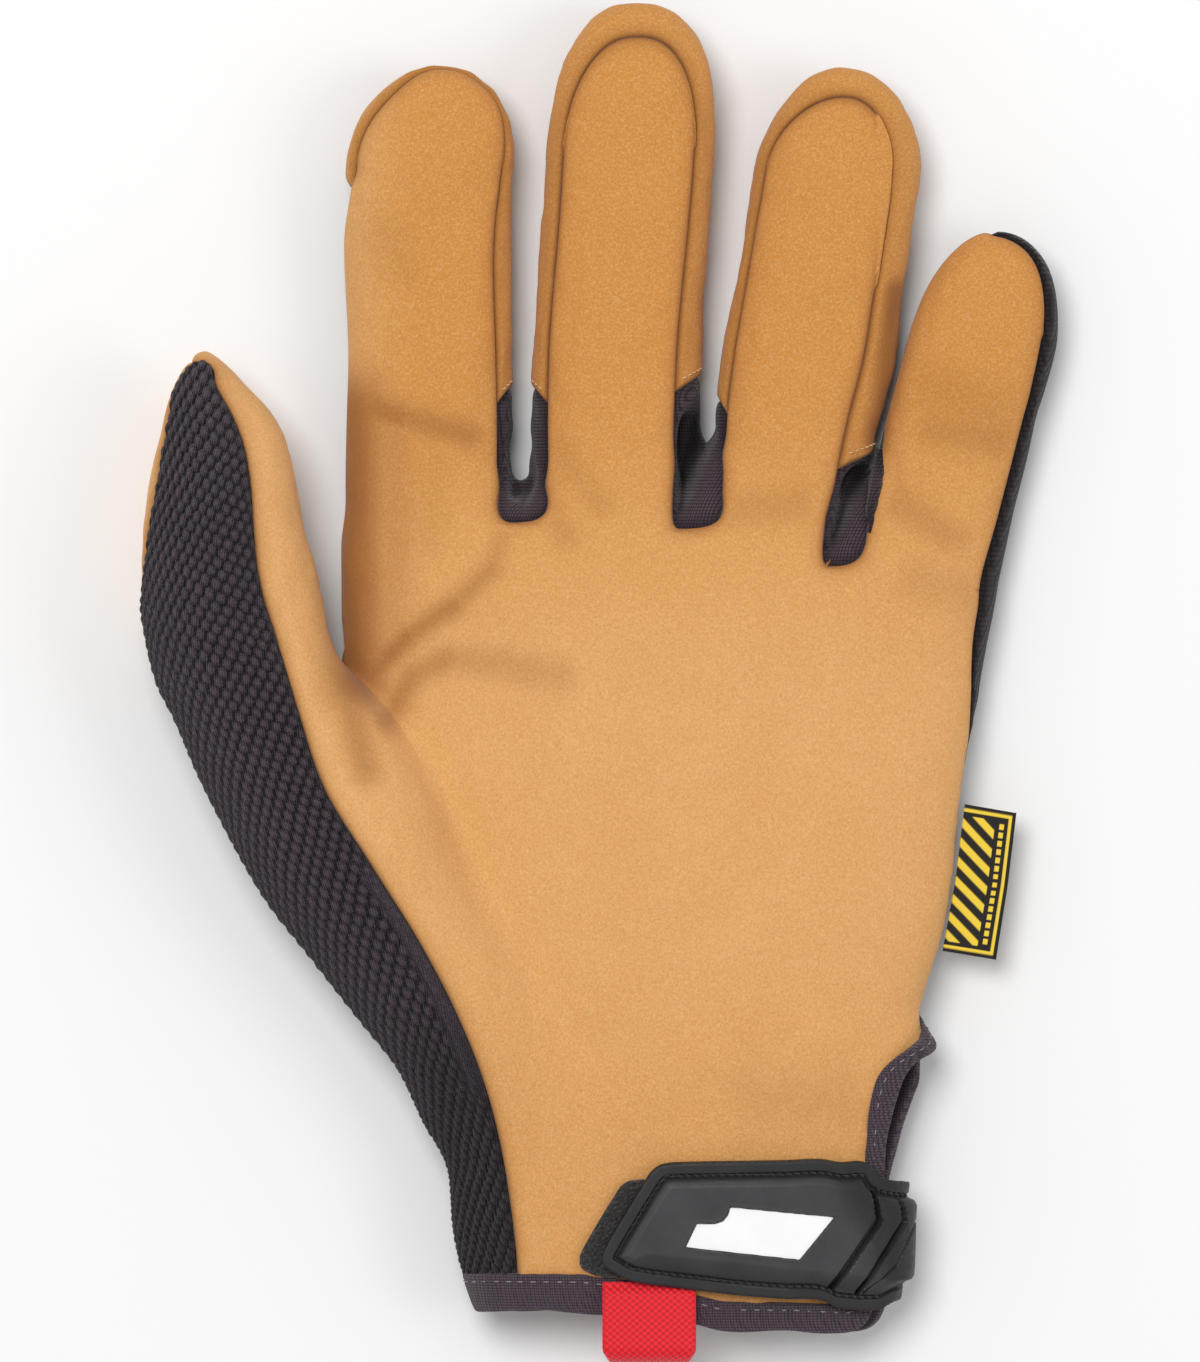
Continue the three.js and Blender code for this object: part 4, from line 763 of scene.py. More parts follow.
def noise(p, longest, shortest, seed, count=30):
    """Soft unevenness of about unit size: a sum of cosines of plane waves of lengths between two values."""
    random = np.random.default_rng(seed)
    direction = unit(random.normal(size=(count, 3)))
    length = np.exp(random.uniform(math.log(shortest), math.log(longest), count))
    wave = direction * (2 * math.pi / length)[:, None]
    return np.cos(p @ wave.T + random.uniform(0, 2 * math.pi, count)).sum(-1) / math.sqrt(count / 2)


def nearest(points, targets, chunk=4000):
    """Distance of each point from the closest target: the root of |a|^2 + |b|^2 - 2 a.b, in parts."""
    sizes = (targets**2).sum(-1)
    found = [((part**2).sum(-1)[:, None] + sizes - 2 * part @ targets.T).min(-1)
             for part in np.array_split(points, len(points) // chunk + 1)]
    return np.sqrt(np.maximum(np.concatenate(found), 0))


def sewn(s, depth, width):
    """Height beside a seam at a distance s: falls from 0 to -depth along a parabola over the width."""
    return -depth * np.clip(1 - s / width, 0, 1) ** 2


print("height 0.5 mm from a seam:", sewn(0.5, 0.8, 1.4).round(2), "mm")

# %% [markdown]
# A panel is made from its grids: their quads become one mesh, in which points at the same place are merged.
# Each grid is turned so that its faces look outwards.

# %% From grids to a mesh


def quads_of(grid, start):
    """Corner numbers of a grid's quads, turned so that they face out of the skin."""
    rows, cells = grid.shape[:2]
    n = start + np.arange(rows * cells).reshape(rows, cells)
    quads = np.stack([n[:-1, :-1], n[:-1, 1:], n[1:, 1:], n[1:, :-1]], axis=-1).reshape(-1, 4)
    normal = np.cross(grid[1:, 1:] - grid[:-1, :-1], grid[1:, :-1] - grid[:-1, 1:])
    facing = (normal * outward(grid[:-1, :-1])).sum()
    return quads if facing > 0 else quads[:, ::-1]


def mesh_of(name, grids, merge=0.004):
    """A mesh in millimetres from grids that share their edges; quads that close to a line are dropped."""
    starts = np.cumsum([0] + [grid.shape[0] * grid.shape[1] for grid in grids])
    faces = np.concatenate([quads_of(grid, start) for grid, start in zip(grids, starts)])
    mesh = bpy.data.meshes.new(name)
    mesh.from_pydata(np.concatenate([grid.reshape(-1, 3) for grid in grids]), [], faces)
    work = bmesh.new()
    work.from_mesh(mesh)
    bmesh.ops.remove_doubles(work, verts=work.verts, dist=merge)
    work.to_mesh(mesh)
    work.free()
    return mesh


def points_of(mesh):
    """The places of the vertices."""
    points = np.empty(len(mesh.vertices) * 3)
    mesh.vertices.foreach_get("co", points)
    return points.reshape(-1, 3)


print("the palm's coarse grids have", sum(len(quads_of(grid, 0)) for grid in palm_columns), "quads")

# %% [markdown]
# The grids of one panel meet at slightly different slopes, and a grazing light would show each of them as a
# crease. Like a warm iron, a few rounds of averaging take them out. The border is held, so panels still meet.

# %% Evening out


def ends_of(mesh):
    """Numbers of the two vertices of each edge."""
    ends = np.empty(len(mesh.edges) * 2, int)
    mesh.edges.foreach_get("vertices", ends)
    return ends.reshape(-1, 2)


def border_of(mesh):
    """Numbers of the vertices on edges that have one face."""
    edges = np.empty(len(mesh.loops), int)
    mesh.loops.foreach_get("edge_index", edges)
    single = np.bincount(edges, minlength=len(mesh.edges)) == 1
    return np.unique(ends_of(mesh)[single])


def averaged(mesh, values, rounds, held=()):
    """Evens out values over the mesh: a round moves each halfway to its neighbours' mean, but no held one."""
    first, second = ends_of(mesh).T
    count = len(values)
    neighbours = np.maximum(np.bincount(np.append(first, second), minlength=count), 1)[:, None]
    kept = values[held,]
    for _ in range(rounds):
        total = np.stack([np.bincount(first, part[second], count) + np.bincount(second, part[first], count)
                          for part in values.T], axis=-1)
        values = mix(values, total / neighbours, 0.5)
        values[held,] = kept
    return values


print("the border is held while a mesh is evened out")

# %% [markdown]
# Each finished mesh becomes an object that rides the model's root, stands for the model's nodes and fills one
# slot for materials. The wall of cloth is left to a Solidify modifier, which grows it inwards, so the glove
# stays hollow and open.

# %% Pieces


def add_number(mesh, name, values):
    """A number for each vertex, which a material can read."""
    layer = mesh.attributes.new(name, "FLOAT", "POINT")
    layer.data.foreach_set("value", np.ascontiguousarray(values, dtype=np.float32))


def piece(name, mesh, points, nodes, finish):
    """The mesh with its points moved into place in metres, as an object that stands for the model's nodes."""
    mesh.vertices.foreach_set("co", (points * MM).ravel())
    mesh.shade_smooth()
    mesh.materials.append(finish)
    obj = bpy.data.objects.new(name, mesh)
    bpy.context.scene.collection.objects.link(obj)
    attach(obj, "root")
    if nodes:
        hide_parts(*nodes)
    print(name, len(mesh.polygons), "faces")
    return obj


def wall(obj, thickness):
    """Thickness in millimetres, grown inwards from the surface."""
    solid = obj.modifiers.new("wall", "SOLIDIFY")
    solid.thickness = thickness * MM
    solid.offset = -1


print("walls grow inwards")

# %% [markdown]
# The leather carries painted shade: its folds and the sides that turn from the light go dark and reddish.
# The fingers are also a deeper tan than the palm. Both are numbers on the vertices, worked out from the place,
# and the finish reads them.

# %% Painted shade and tan of the leather
# Painted shade in folds and on sides that turn from the light: two ends in plan, width and strength
SHADES = np.array([
    (-44.6, 49, -43.6, 0, 6.4, 1.0), (-37.5, 46, -38.5, 4, 5.5, 0.45), (-30, 40, -31, 26, 5.0, 0.22),
    (-42, 0, -34.5, 8, 2.6, 0.9), (-34.5, 8, -26, 13.5, 2.4, 0.75), (-26, 13.5, -19.5, 20, 2.2, 0.55),
    (-19.5, 20, -17.5, 26, 2.0, 0.35), (-38, -7, -33.5, 1, 2.8, 0.7), (-33.5, 1, -27, 4, 2.8, 0.6),
    (-27, 4, -18, 3, 3.2, 0.4), (-18, 3, -7, 1, 3.4, 0.35), (-45, 51, -36, 47.5, 3.0, 0.85),
    (-36, 47.5, -23, 44, 2.8, 0.65), (-35, 32, -37, 17, 3.4, 0.4), (22, 31, 36, 32, 4.0, 0.3),
    (-8, 43, 0, 32, 3.5, 0.25), (-9, 31, -6, 26, 3.0, 0.3), (60, 45, 72, 43, 4.0, 0.4),
    (62, 52, 69, 49, 6.0, 0.3), (54, 32, 63, 26, 3.4, 0.4), (58, 18, 66, 15, 5.0, 0.25),
    (-46, 1, -41.5, -16, 3.2, 0.6), (53.3, 70, 49.9, 43, 2.6, 1.0), (19.8, 70, 19.0, 52, 1.6, 0.7),
    (-38, 80, -36, 74, 5.0, 0.2), (28, -74, 44, -76, 6.0, 0.2),
])


def warmth(points):
    """How deep the tan is: 1 on the fingers, less on the palm and least on the thumb."""
    x, y = points[:, 0], points[:, 1]
    hand = mix(0.22, 1, smoothstep(y, -5, 60)) + 0.25 * smoothstep(-y, 40, 90)
    return hand * smoothstep(x, -54, -30)


print(len(SHADES), "darker folds")

# %% [markdown]
# A sewn panel has three things in common with every other: seams pulled down, puckers beside them, and a
# height of its own. Where leather laps over the knit there is no groove, and the knit dips below it instead.

# %% Sewn panels
KNIT_DIP = (2.0, 7.0)  # depth and width of the dip under leather that laps over


def lapped(points):
    """1 where leather laps over the knit: at the index's left, and at the little finger's left and tip."""
    x, y = points[:, 0], points[:, 1]
    index = smoothstep(-x, 38, 42) * smoothstep(y, 2, 12) * (x > -52) * (1 - smoothstep(y, 88, 91.5))
    little = smoothstep(y, 40, 47) * (np.abs(x - FINGERS[3].sides(y, "left")) < 5)
    tip = smoothstep(y, 58, 62) * (x > 50) * (1 - smoothstep(x, 69.5, 71.5))
    return np.maximum(np.maximum(index, little), tip)


def sewn_panel(name, grids, node, finish, thickness, height, groove=(0.8, 1.4), lap=0, even=3):
    """A panel with its seams pulled down, puckers beside them and a height of its own along the normal.

    Its mesh is evened out in some rounds, with the border held, and the thumb's pointed end keeps the drawn
    shape. The groove is a seam's depth and width. A lap of 1 leaves the groove out where leather laps over
    the knit, and a lap of -1 makes the knit dip there.
    """
    mesh = mesh_of(name, grids)
    held = border_of(mesh)
    drawn = points_of(mesh)
    border = drawn[held]
    s = nearest(drawn, border)
    pointed = 1 - smoothstep(np.linalg.norm(drawn - tip_under, axis=-1), 5, 8)
    points = mix(averaged(mesh, drawn, 4 * even, held), drawn, pointed[:, None])
    up = unit(averaged(mesh, outward(points, h=0.4), even))
    print(name, "has", len(border), "points on its border")
    pucker = 0.16 * noise(points, 7, 3.5, 3) * np.exp(-s / 2.2)
    over = lapped(points) if lap else 0
    seam_rise = sewn(s, *groove) * (1 - over) if lap > 0 else mix(sewn(s, *groove), sewn(s, *KNIT_DIP), over)
    rise = seam_rise + pucker * smoothstep(s, 0.3, 1.5) + height(points, up, s)
    # Painted shade: the fold number carries the SHADES strokes, and the seam number darkens the grooves along
    # the seams
    shade = fold_depth(points[:, 0], points[:, 1], SHADES) * smoothstep(points[:, 2], 3, 10)
    add_number(mesh, "seam", np.exp(-s / 1.2) * (1 - over if lap > 0 else 1))
    add_number(mesh, "fold", np.clip(shade, 0, 1))
    add_number(mesh, "warm", warmth(points))
    moved = averaged(mesh, points + up * rise[:, None], even - 3, held)
    moved[:, 2] = np.maximum(moved[:, 2], 0.02)
    obj = piece(name, mesh, moved, [node], finish)
    wall(obj, thickness)
    return obj


# %% [markdown]
# The finishes are procedural and read the piece's Object coordinates, so they stay fixed to it. A small class
# puts a Principled material together node by node, with sizes in millimetres.

# %% Putting a finish together


def tone(red, green, blue):
    """A colour given as it looks on a screen, from 0 to 255, as the linear values that a shader takes."""
    share = np.array([red, green, blue]) / 255
    linear = np.where(share <= 0.04045, share / 12.92, ((share + 0.055) / 1.055) ** 2.4)
    return (*linear.tolist(), 1.0)


class Finish:
    """A Principled material that is put together node by node."""

    def __init__(self, name, roughness, sheen=0.0, specular=0.3):
        self.material = bpy.data.materials.new(name)
        self.material.use_nodes = True
        self.tree = self.material.node_tree
        self.shader = self.tree.nodes["Principled BSDF"]
        self.shader.inputs["Roughness"].default_value = roughness
        self.shader.inputs["Specular IOR Level"].default_value = specular
        self.shader.inputs["Sheen Weight"].default_value = sheen
        self.shader.inputs["Sheen Roughness"].default_value = 0.5
        self.place = self.tree.nodes.new("ShaderNodeTexCoord").outputs["Object"]

    def node(self, kind, inputs=(), **settings):
        """A new node, with each input linked to a socket or set to a value."""
        node = self.tree.nodes.new("ShaderNode" + kind)
        for key, value in settings.items():
            setattr(node, key, value)
        for key, value in dict(inputs).items():
            if isinstance(value, bpy.types.NodeSocket):
                self.tree.links.new(value, node.inputs[key])
            else:
                node.inputs[key].default_value = value
        return node

    def stretched(self, x, y, z):
        """The place with each coordinate times its own scale."""
        return self.node("Mapping", {"Vector": self.place, "Scale": (x, y, z)}).outputs["Vector"]

    def cloud(self, size, detail=2.0, place=None, roughness=0.5):
        """Noise whose patches are about size millimetres across."""
        inputs = {"Vector": place or self.place, "Scale": 1 / (size * MM), "Detail": detail,
                  "Roughness": roughness}
        return self.node("TexNoise", inputs).outputs["Fac"]

    def maths(self, how, a, b=0.0):
        """A calculation on two values, with the name that Blender gives it."""
        return self.node("Math", {0: a, 1: b}, operation=how).outputs[0]

    def add(self, a, b):
        """The sum of two values."""
        return self.maths("ADD", a, b)

    def times(self, a, b):
        """The product of two values."""
        return self.maths("MULTIPLY", a, b)

    def axes(self, place):
        """The single coordinates of a place."""
        return self.node("SeparateXYZ", {0: place}).outputs

    def number(self, name):
        """A number that the mesh's vertices carry."""
        return self.node("Attribute", attribute_name=name).outputs["Fac"]

    def blend(self, share, a, b):
        """A colour between two: share 0 gives the first, 1 the second. Sockets 6 and 7 hold the colours."""
        return self.node("Mix", {"Factor": share, 6: a, 7: b}, data_type="RGBA").outputs[2]

    def range(self, value, low, high, to_low=0.0, to_high=1.0):
        """A value taken from one range to another."""
        inputs = {"Value": value, "From Min": low, "From Max": high, "To Min": to_low, "To Max": to_high}
        return self.node("MapRange", inputs).outputs[0]

    def done(self, colour, height=None, depth=0.1, strength=1.0, roughness=None):
        """The material with its colour and, where they are given, its bump and roughness."""
        if isinstance(colour, bpy.types.NodeSocket):
            self.tree.links.new(colour, self.shader.inputs["Base Color"])
        else:
            self.shader.inputs["Base Color"].default_value = colour
        if height is not None:
            bump = self.node("Bump", {"Height": height, "Distance": depth * MM, "Strength": strength})
            self.tree.links.new(bump.outputs["Normal"], self.shader.inputs["Normal"])
        if roughness is not None:
            self.tree.links.new(roughness, self.shader.inputs["Roughness"])
        return self.material


print("a mid grey of 128 is", round(tone(128, 128, 128)[0], 3), "in linear light")

# %% [markdown]
# Suede is a short nap. Where it was brushed one way or the other it shows cloudy patches, and close up it is
# a fine grain of lighter and darker fibres. Hair would be the real thing, but at this size noise in colour
# and bump looks the same. Folds, seams and sides that turn from the light carry painted shade, darker and
# redder.

# %% Suede
BRIGHT_FIBRE = tone(244, 208, 152)
# The dark tan is both the nap's darker fibres and the painted shade of folds and seams
PALM_TAN, FINGER_TAN, FOLD_TAN = tone(235, 181, 118), tone(213, 146, 74), tone(146, 89, 41)


def suede(name, palm, finger, dark):
    """Suede: brushed clouds, nap as fine noise in colour and bump, and painted shade where the fold and seam
    numbers say so.
    """
    finish = Finish(name, 0.95, sheen=0.12, specular=0.08)
    colour = finish.blend(finish.number("warm"), palm, finger)
    brushed = finish.range(finish.cloud(16, 6, roughness=0.7), 0.35, 0.65, 0.0, 0.2)
    colour = finish.blend(brushed, colour, finger)
    nap = finish.cloud(0.36, 3, finish.stretched(1, 0.7, 1), 0.7)
    colour = finish.blend(finish.range(nap, 0.3, 0.7, 0.0, 0.34), colour, dark)
    bright = finish.range(finish.cloud(0.42, 2, roughness=0.6), 0.45, 0.75, 0.0, 0.3)
    colour = finish.blend(bright, colour, BRIGHT_FIBRE)
    # Painted shade: darker and redder in the folds and along the seams' grooves
    painted_fold_seam_shade = finish.maths("MAXIMUM", finish.number("fold"), finish.number("seam"))
    colour = finish.blend(finish.range(painted_fold_seam_shade, 0.04, 1.0, 0.0, 0.8), colour, dark)
    return finish.done(colour, nap, 0.2, 0.45)


palm_suede_finish = suede("palm_suede", PALM_TAN, FINGER_TAN, FOLD_TAN)
band_suede_finish = suede("band_suede", FINGER_TAN, FINGER_TAN, tone(140, 88, 42))
print("suede in two shades")

# %% [markdown]
# The knit of the back, the gussets and the tape has loops too small to model, so a wave along the glove times
# a wave across it stands for them. The thumb's waffle is relief, and its finish adds yarn to the same humps
# and paints shade into the valleys between them. Along the seams the knits get painted shade too.

# %% Knits
# Weights of the three waves that make a honeycomb of humps
HUMP_WEIGHTS = (0.44, 0.26, 0.3)


def fine_knit(name, light, dark, course=0.6, wale=0.55, shade=None):
    """Fine knit: rows of small loops, |sine| along the glove times |sine| across it, with noise as yarn."""
    finish = Finish(name, 0.95, sheen=0.2, specular=0.08)
    x, y, z = finish.axes(finish.place)
    angles = finish.times(y, math.pi / (course * MM)), finish.times(finish.add(x, z), math.pi / (wale * MM))
    waves = [finish.maths("ABSOLUTE", finish.maths("SINE", angle)) for angle in angles]
    loops = finish.add(finish.times(*waves), finish.times(finish.cloud(0.35, 2), 0.6))
    colour = finish.blend(finish.range(loops, 0.25, 1.1), dark, light)
    # Painted shade: darker along the seams' grooves and, where a shade is given, as the deep number says
    colour = finish.blend(finish.range(finish.number("seam"), 0.1, 1.0, 0.0, 0.75), colour, dark)
    if shade:
        colour = finish.blend(finish.number("deep"), colour, shade)
    return finish.done(colour, loops, 0.2, 0.7)


def waffle(name, light, dark):
    """Waffle knit: the relief's own lattice of humps, read from the UV map, with loops of yarn on each.

    A hump is the weighted sum of cosines of s, of t and of s + t, and the loops are a sine of 5 s + 2 t. The
    colour carries painted shade: darker in the valleys between humps and where the seam number says.
    """
    finish = Finish(name, 0.95, sheen=0.15, specular=0.08)
    s, t, _ = finish.axes(finish.node("UVMap", uv_map="lattice").outputs["UV"])
    turns = [finish.maths("COSINE", finish.times(place, 2 * math.pi)) for place in (s, t, finish.add(s, t))]
    weighted = [finish.times(wave, weight) for wave, weight in zip(turns, HUMP_WEIGHTS)]
    hump = finish.add(finish.add(weighted[0], weighted[1]), weighted[2])
    hump = finish.maths("POWER", finish.range(hump, -0.5, 1.0), 0.55)
    hump = finish.maths("MAXIMUM", hump, finish.number("flat"))
    along_yarn = finish.add(finish.times(s, 5.0), finish.times(t, 2.0))
    rows = finish.maths("SINE", finish.times(along_yarn, 2 * math.pi))
    yarn = finish.range(finish.cloud(0.3, 2, roughness=0.7), 0.3, 0.7, -0.6, 0.6)
    loops = finish.add(yarn, finish.times(rows, 0.34))
    height = finish.add(hump, finish.times(loops, 0.7))
    # Painted shade: the colour goes dark in the valleys between humps and along the seam groove and sewn line
    colour = finish.blend(finish.range(height, 0.15, 1.3), dark, light)
    colour = finish.blend(finish.range(finish.number("seam"), 0.1, 1.0, 0.0, 0.7), colour, dark)
    return finish.done(colour, height, 0.4, 0.8)


back_finish = fine_knit("back_knit_finish", tone(52, 44, 45), tone(24, 19, 20), 0.9, 0.8)
gusset_finish = fine_knit("gusset_knit", tone(88, 73, 81), tone(34, 26, 31), shade=tone(9, 7, 8))
waffle_finish = waffle("waffle_knit_finish", tone(96, 81, 92), tone(12, 9, 11))
tape_finish = fine_knit("tape_knit", tone(92, 79, 89), tone(46, 39, 44), 0.5, 0.5)
print("four knits")

# %% [markdown]
# The palm, the fronts of the fingers and the inner side of the thumb are one piece of suede. Every grid is
# refined until its cells are about a millimetre, which is fine enough for the grooves beside the seams. Grids
# that share a seam also share its points, so no gap opens between them.

# %% Palm suede
# How many cells each cell of a coarse grid becomes, across and down
FINE, DOWN = 4, 8
# Walls of leather and of knit
LEATHER, KNIT = 1.5, 1.3

palm_grids = [refine(grid, DOWN, FINE) for grid in palm_columns]
palm_grids[0][:, -1] = palm_grids[1][:THUMB_ROW * DOWN + 1, 0]
face_grids = [refine(front, FINE, FINE) for front, back, side in fingers]
for face, column in zip(face_grids, palm_grids[1:]):
    face[0] = column[-1]
thumb_grid = refine(thumb_front, 6, FINE)
thumb_grid[0] = palm_grids[0][-1]


def leather_height(points, up, s):
    """Soft dents of the leather, less towards its seams."""
    inner = smoothstep(s, 0.5, 5)
    return (0.16 * noise(points, 30, 12, 11) + 0.05 * noise(points, 7, 3, 12)) * inner


sewn_panel("palm_suede", palm_grids + face_grids + [thumb_grid], "palm_panel", palm_suede_finish,
           LEATHER, leather_height, lap=1)

# %% [markdown]
# The knit back wraps round both outer edges of the hand. Its grids are the back of the hand, the backs of the
# fingers, and the strips that come round the sides to the palm. Most of it lies hidden, so they are coarser.

# %% Knit back
BACK_FINE, BACK_DOWN = 3, 6

outer_rows = slice(SLIT_ROW, LAST_ROW + 1)
outer_y = PALM_ROWS(row_number, "outer")[outer_rows]
outer_silhouette = right_of(outer_y, 9)
outer_silhouette[-1] = on_skin(xyz(72.4, palm_lines[5][LAST_ROW, 1], 9))
outer_side = line_over([palm_lines[5][outer_rows], outer_silhouette, back_lines[5][outer_rows]], SIDE_CELLS)

index_rows = slice(THUMB_ROW, LAST_ROW + 1)
index_front, index_back = palm_lines[1][index_rows], back_lines[1][index_rows]
index_silhouette = on_skin(mix(index_front, index_back, 0.5) - (1.5, 0, 0))
index_silhouette[-1] = on_skin(xyz(ROOT_X[0], palm_lines[1][LAST_ROW, 1], 9))
index_side = line_over([index_front, index_silhouette, index_back], SIDE_CELLS)
index_side[0] = mix(index_front[0], index_back[0], np.linspace(0, 1, SIDE_CELLS + 1)[:, None])

back_grids = [refine(grid, BACK_DOWN, BACK_FINE) for grid in back_columns]
back_grids[0][:, -1] = back_grids[1][:THUMB_ROW * BACK_DOWN + 1, 0]
back_faces = [refine(back, BACK_FINE, BACK_FINE) for front, back, side in fingers]
outer_grid = refine(outer_side, BACK_DOWN, BACK_FINE)
outer_grid[:, -1] = back_grids[4][SLIT_ROW * BACK_DOWN:, -1]
index_grid = refine(index_side, BACK_DOWN, BACK_FINE)
index_grid[:, -1] = back_grids[1][THUMB_ROW * BACK_DOWN:, 0]
sides = [refine(side, BACK_FINE, BACK_FINE) for front, back, side in fingers]
for face, column, side in zip(back_faces, back_grids[1:], sides):
    face[0] = column[-1]
    side[:, -1] = rim(face)
outer_grid[-1], index_grid[-1] = sides[3][-1], sides[0][0]
index_shaft = sides[0][:TO_SHOULDER * BACK_FINE + 1]
little_round = sides[3][TO_CUT * BACK_FINE:]
back_pieces = back_grids + back_faces + [outer_grid, index_grid, index_shaft, little_round]


def knit_height(points, up, s):
    """Wide, shallow unevenness of the knit, less towards its seams."""
    return 0.14 * noise(points, 40, 14, 21) * smoothstep(s, 0.5, 5)


sewn_panel("back_knit", back_pieces, "back_panel", back_finish, KNIT, knit_height, lap=-1)

# %% [markdown]
# Bands of the same suede close the sides of the three long fingers over their tips. They could be part of the
# palm's mesh, but as strips of their own they keep the crisp edges of sewn pieces. They are narrow and turn
# sharply, so they are evened out only a little.

# %% Bands
side_grids = [refine(side, FINE, FINE) for front, back, side in fingers]
first_cut, last_cut = TO_CUT * FINE, (len(fingers[0][2]) - 1 - TO_CUT) * FINE
BANDS = (("index_band", 0, TO_SHOULDER * FINE, -1), ("middle_band", 1, first_cut, 0),
         ("ring_band", 2, first_cut, 0))

for name, finger, start, lap in BANDS:
    strip = side_grids[finger][start:last_cut + 1]
    sewn_panel(name + "_suede", [strip], name, band_suede_finish, LEATHER, leather_height,
               lap=lap, even=1)

# %% [markdown]
# Fine knit gussets fill the gaps between the fingers, so that the glove can spread. Each runs down the side
# of one finger and up the side of the next, and folds into a deep crease, which has painted shade at its
# bottom.

# %% Gussets
GUSSET_WALL = 1.1
GUSSETS = ("gusset_index_middle", "gusset_middle_ring", "gusset_ring_little")

# Creases down the middle of the gussets: two ends in plan, width and depth
CREASES = np.array([
    (-13.2, 38, -15.0, 34.4, 1.0, 2.2), (-12.8, 37, -13.8, 32.4, 0.9, 1.6),
    (17.6, 47, 15.6, 36, 1.9, 5.0), (15.6, 36, 14.6, 31, 1.3, 2.4),
    (49.4, 42, 44.8, 33.5, 1.6, 4.2), (44.8, 33.5, 42.0, 25.2, 1.2, 2.6),
])


def gusset_height(points, up, s):
    """Soft dents, less the creases where the knit faces up."""
    crease = fold_depth(points[:, 0], points[:, 1], CREASES) * smoothstep(up[:, 2], 0.15, 0.6)
    return 0.25 * noise(points, 14, 6, 31) * smoothstep(s, 0.5, 3) - crease * smoothstep(s, 0.2, 1.6)


for finger, name in enumerate(GUSSETS):
    strips = [side_grids[finger][last_cut:], side_grids[finger + 1][:first_cut + 1]]
    gusset = sewn_panel(name + "_knit", strips, name, gusset_finish, GUSSET_WALL, gusset_height,
                        even=7)
    x, y, z = points_of(gusset.data).T / MM
    # Painted shade: the deep number darkens the knit low down between the fingers and in its creases
    crease = fold_depth(x, y, CREASES) / 4
    add_number(gusset.data, "deep", np.clip(np.maximum(0.9 * (1 - smoothstep(z, 8, 15)), crease), 0, 0.97))

# %% [markdown]
# The outer side of the thumb is a honeycomb waffle knit with cells about two millimetres wide. Its lattice
# turns and narrows with the panel, so every place gets two cell numbers, which grow by one from cell to cell.

# %% Lattice of the waffle knit
# One step of the lattice to the right and one upwards, in millimetres, at heights from the cuff to the tip
WAFFLE_STEPS = Table(
    "y right_x right_y up_x up_y", (-110, 1.7, -1.05, 0.4, 1.28), (-95, 1.7, -1.05, 0.4, 1.3),
    (-74, 2.1, -0.75, 0.15, 1.34), (-57, 2.25, -0.5, 0.5, 1.75), (-43, 2.25, -0.38, 0.38, 1.8),
    (-27, 2.2, -0.42, 0.38, 1.76), (-11, 2.18, -0.54, 0.56, 1.68), (4, 2.1, -0.7, 0.85, 1.65),
    (18, 1.85, -0.78, 1.05, 1.62), (33, 1.6, -0.92, 1.1, 1.62), (45, 1.75, -1.05, 1.2, 1.62),
    (60, 1.75, -1.05, 1.2, 1.62),
)


def lengths(grid, axis):
    """Arc length along a grid's rows or columns, in millimetres."""
    step = np.linalg.norm(np.diff(grid, axis=axis), axis=-1)
    return np.concatenate([np.zeros_like(np.take(step, [0], axis)), np.cumsum(step, axis=axis)], axis=axis)


def lattice(x, y, middle_x, middle_y):
    """Cell numbers s, t: a step to the right adds 1 to s, a step up adds 1 to t.

    They are summed along the panel's middle line, and spread from it by the steps' inverse at each height.
    """
    level = np.linspace(-112, 60, 500)
    ax, ay, bx, by = WAFFLE_STEPS(level)
    size = ax * by - ay * bx
    order = np.argsort(middle_y)
    centre = np.interp(level, middle_y[order], middle_x[order])
    found = []
    for per_x, per_y in ((by / size, -bx / size), (-ay / size, ax / size)):
        climb = np.cumsum((per_y + per_x * np.gradient(centre, level)) * (level[1] - level[0]))
        beside = x - np.interp(y, level, centre)
        found.append(np.interp(y, level, per_x) * beside + np.interp(y, level, climb))
    return found


print("a waffle cell at the thumb's middle is", WAFFLE_STEPS(-11.0, "right_x").round(1), "mm wide")

# %% [markdown]
# The humps are real relief, because they show in the outline of the thumb, which a bump would leave smooth.
# Beside the palm a plain selvage with a line of stitches interrupts them. The UV map keeps the cell numbers,
# for the finish.

# %% Waffle knit of the thumb
WAFFLE_ROWS, WAFFLE_CELLS = 22, 8
WAFFLE_DEPTH = 0.6
# How far the cells wander from an even lattice, in cells
CELL_WANDER = 0.05
# The selvage: where it begins and ends up the thumb, where it meets the humps, and its sewn line
SELVAGE_BEGINS, SELVAGE_ENDS, SELVAGE_WIDTH = (-80, -70), (-38, -28), (2.9, 3.5)
LINE_AT, LINE_WIDTH, LINE_DEPTH = 2.7, 0.28, 0.3

waffle_grid = refine(thumb_knit, WAFFLE_ROWS, WAFFLE_CELLS)
u = lengths(waffle_grid, 1)
unrolled = waffle_grid[:, :1, 0] - u
y_there = waffle_grid[..., 1]
halfway = unrolled.shape[1] // 2
s_cell, t_cell = lattice(unrolled, y_there, unrolled[:, halfway], y_there[:, halfway])
flat_points = waffle_grid.reshape(-1, 3)
s_cell = s_cell + CELL_WANDER * noise(flat_points, 14, 6, 61).reshape(s_cell.shape)
t_cell = t_cell + CELL_WANDER * noise(flat_points, 14, 6, 62).reshape(t_cell.shape)
waves = [np.cos(2 * math.pi * cell) for cell in (s_cell, t_cell, s_cell + t_cell)]
hump = np.clip((sum(weight * wave for weight, wave in zip(HUMP_WEIGHTS, waves)) + 0.5) / 1.5, 0, 1) ** 0.6
edge = np.minimum(u, u[:, -1:] - u)
selvage = smoothstep(y_there, *SELVAGE_BEGINS) * (1 - smoothstep(y_there, *SELVAGE_ENDS))
